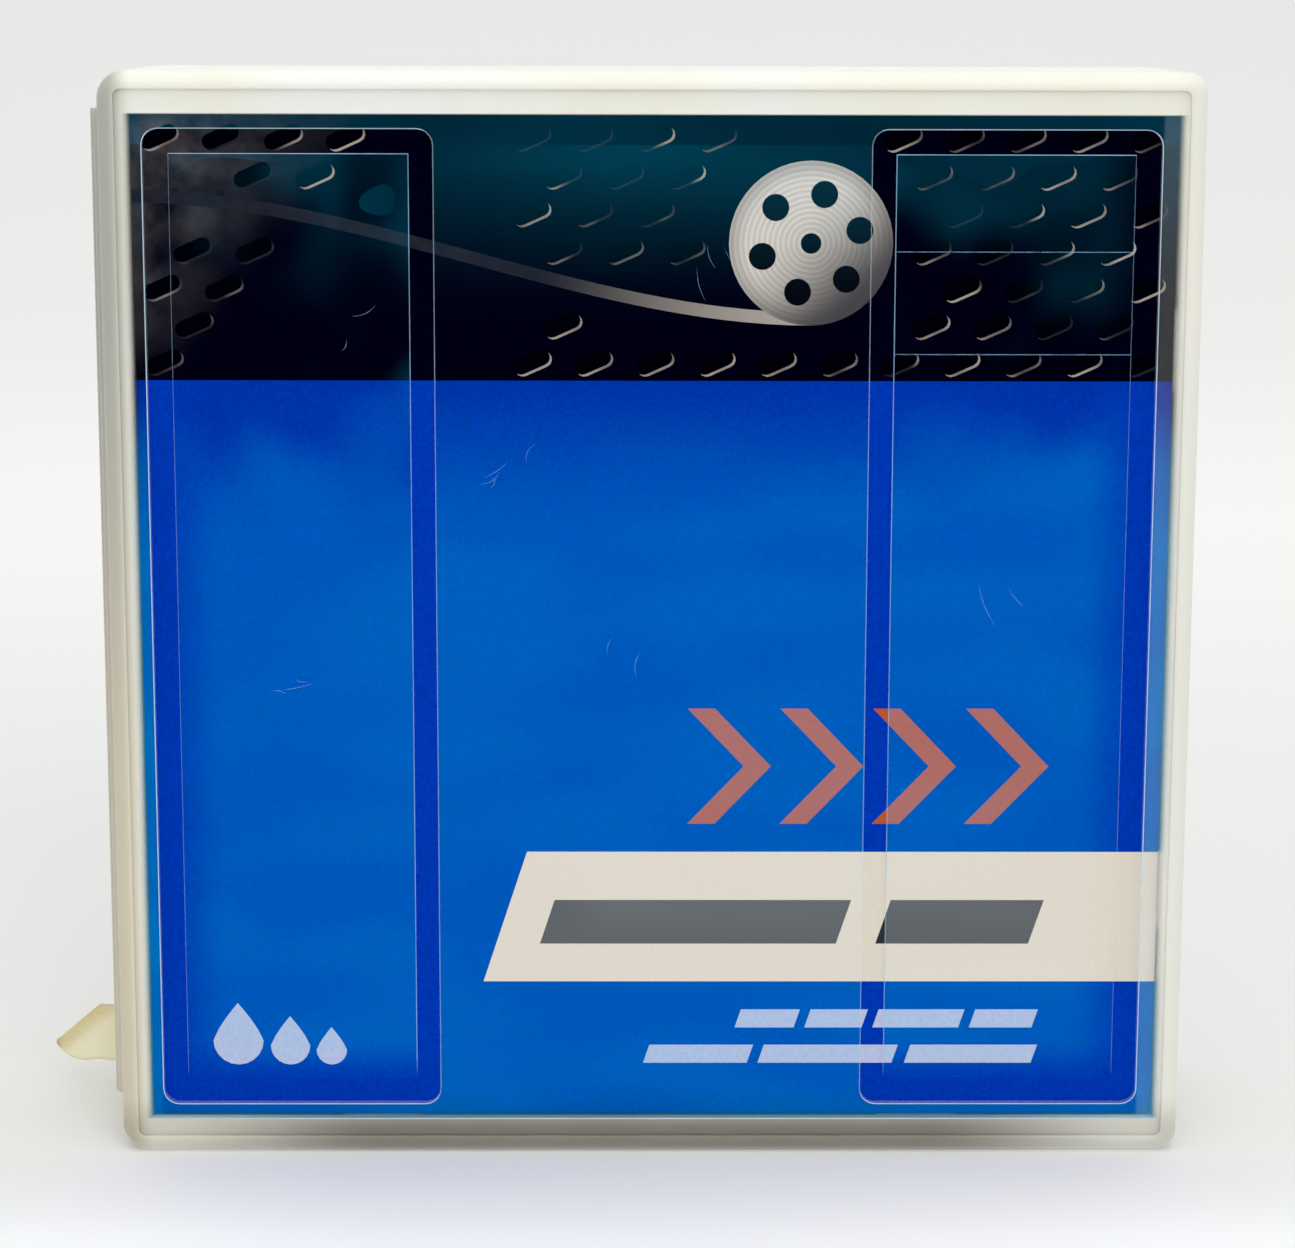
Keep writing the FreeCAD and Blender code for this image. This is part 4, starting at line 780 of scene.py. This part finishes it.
def slot_places(left, right, top):
    """Middles of the slanted slots: staggered rows in the glow and on the right, clear of reel and tape."""
    places = []
    row = 0
    z = BAND_BOTTOM + SLOT_ROW / 2
    while z < top - SLOT_ROW / 4:
        x = left + SLOT_MARGIN + (row % 2) * SLOT_PITCH / 2
        while x < right - SLOT_MARGIN:
            off_reel = math.hypot(x - REEL_X, z - REEL_Z) > REEL_RADIUS + SLOT_CLEAR
            off_strand = x > REEL_X or abs(z - strand_middle(x, left)) > SLOT_CLEAR
            in_glow = x + GLOW_LEAN * (BAND_BOTTOM - z) <= GLOW_END
            if off_reel and off_strand and (x > SLOT_FIELD or in_glow):
                places.append((x, z))
            x += SLOT_PITCH
        z += SLOT_ROW
        row += 1
    return places


# Meshes

def finished_mesh(name, form):
    """The mesh of a finished bmesh, which is then let go."""
    mesh = bpy.data.meshes.new(name)
    form.to_mesh(mesh)
    form.free()
    return mesh


def prism_mesh(name, polygons, back, front):
    """Outlines raised from the back plane to the front plane."""
    form = bmesh.new()
    for outline in polygons:
        rear = [form.verts.new((x * MM, back * MM, z * MM)) for x, z in outline]
        fore = [form.verts.new((x * MM, front * MM, z * MM)) for x, z in outline]
        form.faces.new(rear)
        form.faces.new(fore)
        for i in range(len(outline)):
            j = (i + 1) % len(outline)
            form.faces.new((rear[i], rear[j], fore[j], fore[i]))
    bmesh.ops.recalc_face_normals(form, faces=form.faces)
    bmesh.ops.triangulate(form, faces=[face for face in form.faces if len(face.verts) > 4])
    return finished_mesh(name, form)


def frame_mesh(name, frames, width, back, front):
    """Thin raised frames round openings given as (left, right, bottom, top, radius)."""
    form = bmesh.new()
    for left, right, bottom, top, radius in frames:
        inner = round_rectangle(left, right, bottom, top, radius)
        outer = round_rectangle(left - width, right + width, bottom - width, top + width, radius + width)
        loops = [
            [form.verts.new((x * MM, y * MM, z * MM)) for x, z in outline]
            for outline, y in ((inner, back), (outer, back), (outer, front), (inner, front))
        ]
        for first, second in zip(loops, loops[1:] + loops[:1]):
            for i in range(len(first)):
                j = (i + 1) % len(first)
                form.faces.new((first[i], first[j], second[j], second[i]))
    bmesh.ops.recalc_face_normals(form, faces=form.faces)
    return finished_mesh(name, form)


def tape_end_mesh(low, high, foot, tip, fall):
    """Torn film that curls out from the tray's side to its tip, and the flat end that holds there."""
    columns, rows = 26, 8
    form = bmesh.new()
    grid = []
    for i in range(columns + 1):
        share = i / columns
        x = foot + (tip - foot) * share
        past = max(0.0, share - TAPE_SHOULDER) / (1 - TAPE_SHOULDER)
        tip_share = max(0.0, share - TAPE_TIP_START) / (1 - TAPE_TIP_START)
        upper = high.z - fall * past
        lower = low.z + TAPE_RIPPLE * math.sin(TAPE_RIPPLE_TURN * share) ** 2
        lower += TAPE_TIP * (high.z - low.z) * tip_share ** 2
        column = []
        for j in range(rows + 1):
            across = j / rows
            z = lower + (upper - lower) * across
            ripple_turn = TAPE_RIPPLE_TURN * share + TAPE_RIPPLE_SKEW * across
            crinkle_turn = TAPE_CRINKLE_TURN * across + TAPE_CRINKLE_SKEW * share
            curl = TAPE_CURL * share ** 2 + TAPE_RIPPLE * math.sin(ripple_turn) * share
            crinkle = TAPE_CRINKLE * math.sin(crinkle_turn) * share
            column.append(form.verts.new((x * MM, (low.y + TAPE_LIFT + curl + crinkle) * MM, z * MM)))
        grid.append(column)
    for i in range(columns):
        for j in range(rows):
            form.faces.new((grid[i][j], grid[i + 1][j], grid[i + 1][j + 1], grid[i][j + 1]))
    # The held end is a little uneven at its corners
    held = (
        (low.y + TAPE_LIFT, low.z + 0.6),
        (high.y - 0.3, low.z + 0.9),
        (high.y - 0.1, high.z - 0.7),
        (low.y + TAPE_LIFT, high.z),
    )
    form.faces.new([form.verts.new(((foot - 0.1) * MM, y * MM, z * MM)) for y, z in held])
    bmesh.ops.recalc_face_normals(form, faces=form.faces)
    mesh = finished_mesh("tape_end", form)
    mesh.shade_smooth()
    return mesh


# Pieces

def add_object(name, data):
    item = bpy.data.objects.new(name, data)
    bpy.context.scene.collection.objects.link(item)
    return item


def make_piece(name, mesh, material, body):
    piece = add_object(name, mesh)
    mesh.materials.append(material)
    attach(piece, body)
    return piece


def add_band_print(ink, left, right, top):
    """The dark band, with a wound reel, the tape that runs off it, and slots with lit edges."""
    ink("print_band", [rectangle(left, right, BAND_BOTTOM, top)], band_look(), 1)
    ink("print_strand", [strand_outline(left)], strand_look(), 2)
    ink("print_reel", [disc(REEL_X, REEL_Z, REEL_RADIUS)], reel_look(), 3)
    holes = []
    for i in range(HOLE_COUNT):
        turn = math.radians(FIRST_HOLE + 360 / HOLE_COUNT * i)
        x, z = REEL_X + HOLE_CIRCLE * math.cos(turn), REEL_Z + HOLE_CIRCLE * math.sin(turn)
        holes.append(disc(x, z, HOLE_RADIUS, points=24))
    holes.append(disc(REEL_X, REEL_Z, HUB_RADIUS, points=24))
    ink("print_reel_holes", holes, ink_look("ink_hole", srgb(6, 6, 16)), 4)
    slots = slot_places(left, right, top)
    glints = [capsule(x + GLINT_X, z + GLINT_Z, SLOT_LENGTH, SLOT_WIDTH, SLOT_TILT) for x, z in slots]
    pits = [capsule(x, z, SLOT_LENGTH, SLOT_WIDTH, SLOT_TILT) for x, z in slots]
    ink("print_slot_glints", glints, glint_look(), 2)
    ink("print_slots", pits, ink_look("ink_slot", srgb(0, 0, 8)), 3)


def add_print(card_low, card_high):
    """The card's print: a dark band above, then arrows, a banner, word bars and drops."""
    left, right = card_low.x / MM, card_high.x / MM
    top = card_high.z / MM
    face = card_low.y / MM

    def ink(name, polygons, material, layer):
        mesh = prism_mesh(name, polygons, face, face - INK_STEP * layer)
        make_piece(name, mesh, material, "cover")

    add_band_print(ink, left, right, top)

    arrows = [
        chevron(ARROW_LEFT + ARROW_PITCH * i, ARROW_BOTTOM, ARROW_TOP, ARROW_WIDTH, ARROW_LEAN)
        for i in range(ARROW_COUNT)
    ]
    ink("print_arrows", arrows, ink_look("ink_arrows", srgb(184, 88, 46)), 1)

    banner = [
        (BANNER_LEFT, BANNER_BOTTOM), (right, BANNER_BOTTOM),
        (right, BANNER_TOP), (BANNER_LEFT + BANNER_LEAN, BANNER_TOP),
    ]
    ink("print_banner", [banner], ink_look("ink_banner", srgb(224, 216, 201), 0.02), 1)
    bars = [slanted(start, end, BANNER_BAR_BOTTOM, BANNER_BAR_TOP) for start, end in BANNER_BARS]
    ink("print_banner_bars", bars, ink_look("ink_bars", srgb(42, 52, 56)), 2)

    pale = ink_look("ink_pale", srgb(186, 194, 226))
    words = [
        slanted(x, x + length, foot, foot + WORD_HEIGHT)
        for foot, row in WORD_ROWS
        for x, length in row
    ]
    ink("print_word_bars", words, pale, 1)
    ink("print_mark", [drop(x, DROP_FOOT + radius, radius) for x, radius in DROPS], pale, 1)


def add_tape_remnant():
    """A torn end of aged tape: it holds to the tray's side, folds out and curls."""
    low, high = [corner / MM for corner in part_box("tape_remnant")]
    foot, tip = high.x, low.x + TAPE_TIP_ROOM
    fall = TAPE_FALL * (high.z - low.z)
    mesh = tape_end_mesh(low, high, foot, tip, fall)
    slope_start = (foot + (tip - foot) * TAPE_SHOULDER, high.z)
    slope = fall / ((1 - TAPE_SHOULDER) * (foot - tip))
    piece = make_piece("tape_end", mesh, old_tape_look(slope_start, slope), "tray")
    thick = piece.modifiers.new("film", "SOLIDIFY")
    thick.thickness = TAPE_FILM * MM
    thick.offset = 0.0
    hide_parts("tape_remnant")


def add_panel_marks():
    """Hair-fine scratches on the panel, and two crease lines across the right flap."""
    material = mark_look()
    rng = random.Random(SCRATCH_SEED)
    scratches = []
    for middle_x, middle_z, count in SCRATCHED:
        angle = rng.uniform(0.0, math.pi)
        for _ in range(count):
            x = middle_x + rng.uniform(-4.0, 4.0)
            z = middle_z + rng.uniform(-3.0, 3.0)
            turn = angle + rng.uniform(-0.5, 0.5)
            length = rng.uniform(*SCRATCH_LENGTHS)
            scratches.append(scratch(x, z, length, turn, rng.uniform(-0.5, 0.5)))
    mesh = prism_mesh("panel_scratches", scratches, PANEL_FACE, PANEL_FACE - MARK_RISE)
    make_piece("panel_scratches", mesh, material, "cover")

    inset = FLAP_HALF_WIDTH - FLAP_EDGE
    left, right = FLAP_MIDDLE - inset, FLAP_MIDDLE + inset
    lines = [rectangle(left, right, z, z + CREASE_WIDTH) for z in CREASES]
    mesh = prism_mesh("flap_creases", lines, FLAP_FACE, FLAP_FACE - MARK_RISE)
    make_piece("flap_creases", mesh, material, "cover")


def add_cut_edges(card_low, card_high):
    """Frosted edges where the windows and flaps were cut, drawn as painted highlight lines, and a painted
    highlight line along the card's foot.
    """
    windows = []
    flaps = []
    inset = FLAP_HALF_WIDTH - FLAP_EDGE
    for middle in (-FLAP_MIDDLE, FLAP_MIDDLE):
        left, right = middle - WINDOW_HALF_WIDTH, middle + WINDOW_HALF_WIDTH
        windows.append((left, right, WINDOW_BOTTOM, WINDOW_TOP, WINDOW_CORNER))
        bottom, top = FLAP_BOTTOM + FLAP_EDGE, FLAP_TOP - FLAP_EDGE
        flaps.append((middle - inset, middle + inset, bottom, top, FLAP_CORNER))
    material = edge_highlight_look()
    mesh = frame_mesh("window_edges", windows, WINDOW_EDGE, PANEL_FACE, PANEL_FACE - EDGE_RISE)
    make_piece("window_edges", mesh, material, "cover")

    low, high = card_low / MM, card_high / MM
    # Painted highlight: the card's lower edge catching light, as a pale line on the panel in front of it
    line = rectangle(low.x, high.x, low.z - CARD_HIGHLIGHT_WIDTH, low.z)
    mesh = prism_mesh("card_edge_highlight", [line], PANEL_FACE, PANEL_FACE - EDGE_RISE)
    make_piece("card_edge_highlight", mesh, material, "cover")

    mesh = frame_mesh("flap_edges", flaps, FLAP_EDGE, FLAP_FACE, FLAP_FACE - EDGE_RISE)
    make_piece("flap_edges", mesh, flap_edge_highlight_look(), "cover")


# Stage

def floor_look():
    """A pale floor, which the camera sees shaded, with painted shade towards the case's foot and a painted
    light pool in front of the case, paler and glowing a little.

    To bounced light it glows one even grey, which keeps light paths short. To mirrors it is a painted
    reflection that glows near the case, is dark further out and glows again far off, least of all on the
    left.
    """
    look = Look("pale_floor")
    x, y, _ = look.axes()
    # Painted light and shade: within the pool the floor is pale and darkens towards the case's foot, and
    # outside it the floor is a plain grey
    foot = look.mix(look.step(y, POOL_FRONT, POOL_BACK), srgb(250, 252, 251), srgb(229, 230, 228))
    light_pool = look.times(
        look.step(y, POOL_FRONT, POOL_FULL),
        look.within(x, -POOL_SIDE, POOL_SIDE, POOL_SOFT),
    )
    front = look.mix(light_pool, srgb(228, 229, 228), foot)
    near = look.mix(look.step(y, *FLOOR_PALE), front, srgb(250, 251, 249))
    look.set(base_color=look.mix(look.step(y, *BACKDROP), near, srgb(242, 243, 242)))
    look.set(roughness=1.0, specular_ior_level=0.0, emission_color=WHITE)
    # Painted light pool: the floor glows more in front of the case, and less near its foot
    light_pool_glow = look.times(light_pool, look.step(y, POOL_GLOW_FRONT, POOL_GLOW_BACK, 1.0, 0.0))
    look.set(emission_strength=look.lerp(light_pool_glow, FLOOR_GLOW, POOL_GLOW))

    # What mirrors see is a painted glow, not the floor's lit shade
    edge = look.math("ADD", y, look.times(look.noise(240.0, detail=2.0), 80.0))
    lit = look.step(edge, *MIRROR_NEAR_EDGE)
    glow = look.times(
        look.step(y, *MIRROR_FAR_EDGE, 1.0, 0.0),
        look.step(x, *MIRROR_LEFT, 0.1, 1.0),
        look.step(x, *MIRROR_RIGHT, 1.0, 0.5),
    )
    strength = look.math("MAXIMUM", look.times(lit, MIRRORED_NEAR), look.times(glow, MIRRORED_FAR))
    mirrored = look.add("Emission")
    mirrored.inputs["Color"].default_value = WHITE
    look.feed(mirrored.inputs["Strength"], strength)
    # What bounced light sees is a painted even glow, not the floor's lit shade
    spread = look.add("Emission")
    spread.inputs["Strength"].default_value = FLOOR_BOUNCE
    path = look.add("LightPath").outputs
    bounced = look.layer(path["Is Diffuse Ray"], look.shader.outputs[0], spread.outputs[0])
    look.feed(look.surface, look.layer(path["Is Glossy Ray"], bounced, mirrored.outputs[0]))
    look.material.cycles.emission_sampling = "NONE"
    return look.material


def add_floor():
    """A wide floor that sweeps up into a backdrop, in metres."""
    reach, middle, bend, radius, height = 6.0, 1.0, 0.9, 0.8, 3.0
    turns = [math.radians(90 * i / 16) for i in range(17)]
    profile = [(-reach, 0.0), (-middle, 0.0), (0.0, 0.0)]
    profile += [(bend + radius * math.sin(t), radius * (1 - math.cos(t))) for t in turns]
    profile.append((bend + radius, height))
    form = bmesh.new()
    rows = [[form.verts.new((x, y, z)) for x in (-reach, -middle, middle, reach)] for y, z in profile]
    for near, far in zip(rows, rows[1:]):
        for i in range(3):
            form.faces.new((near[i], near[i + 1], far[i + 1], far[i]))
    mesh = finished_mesh("floor", form)
    mesh.shade_smooth()
    mesh.materials.append(floor_look())
    floor = add_object("floor", mesh)


def add_curtain():
    """A grey curtain behind the camera, in metres, which only the glossy panel sees: a painted soft glow,
    not lit by the lamps.
    """
    side, back, height = 4.0, -2.7, 1.6
    form = bmesh.new()
    form.faces.new([form.verts.new((x, back, z)) for x, z in rectangle(-side, side, 0.0, height)])
    mesh = finished_mesh("curtain", form)
    look = Look("glowing_grey_curtain")
    # Painted glow: the curtain's colour is emitted, for the panel to reflect
    glow = look.add("Emission")
    look.feed(glow.inputs["Color"], mottled(look, srgb(150, 154, 158), 300.0, 0.15))
    look.feed(look.surface, glow.outputs[0])
    look.material.cycles.emission_sampling = "NONE"
    mesh.materials.append(look.material)
    curtain = add_object("curtain", mesh)
    for kind in ("camera", "diffuse", "transmission", "volume_scatter", "shadow"):
        setattr(curtain, "visible_" + kind, False)


def add_world():
    """A white world that looks brighter to the camera than the light it gives."""
    world = bpy.data.worlds.new("studio")
    world.use_nodes = True
    nodes, links = world.node_tree.nodes, world.node_tree.links
    sky = nodes["Background"]
    sky.inputs["Color"].default_value = WHITE
    seen = nodes.new("ShaderNodeMapRange")
    seen.inputs["To Min"].default_value = WORLD_LIGHT
    seen.inputs["To Max"].default_value = WORLD_SEEN
    links.new(nodes.new("ShaderNodeLightPath").outputs["Is Camera Ray"], seen.inputs["Value"])
    links.new(seen.outputs[0], sky.inputs["Strength"])
    bpy.context.scene.world = world


def add_lamps():
    for name, (place, target, size, power) in LAMPS.items():
        lamp = bpy.data.lights.new(name, "AREA")
        lamp.shape = "DISK"
        lamp.size = size
        lamp.energy = power
        holder = add_object(name, lamp)
        holder.location = place
        holder.rotation_euler = (Vector(target) - Vector(place)).to_track_quat("-Z", "Y").to_euler()


def add_camera():
    camera = bpy.data.cameras.new("camera")
    camera.sensor_width = SENSOR
    camera.lens = SENSOR * FOCAL_PIXELS / IMAGE_WIDTH
    camera.clip_start = 0.01
    camera.clip_end = 50.0
    holder = add_object("camera", camera)
    holder.location = Vector(CAMERA_PLACE) * MM
    holder.rotation_mode = "QUATERNION"
    roll = Quaternion((0, 0, 1), CAMERA_ROLL)
    holder.rotation_quaternion = Vector(CAMERA_AIM).to_track_quat("-Z", "Y") @ roll
    bpy.context.scene.camera = holder


card_low, card_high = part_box("insert_card")
dress_nodes(card_low, card_high)
add_print(card_low, card_high)
add_tape_remnant()
add_panel_marks()
add_cut_edges(card_low, card_high)
add_floor()
add_curtain()
add_world()
add_lamps()
add_camera()

scene = bpy.context.scene
scene.view_settings.view_transform = "Standard"
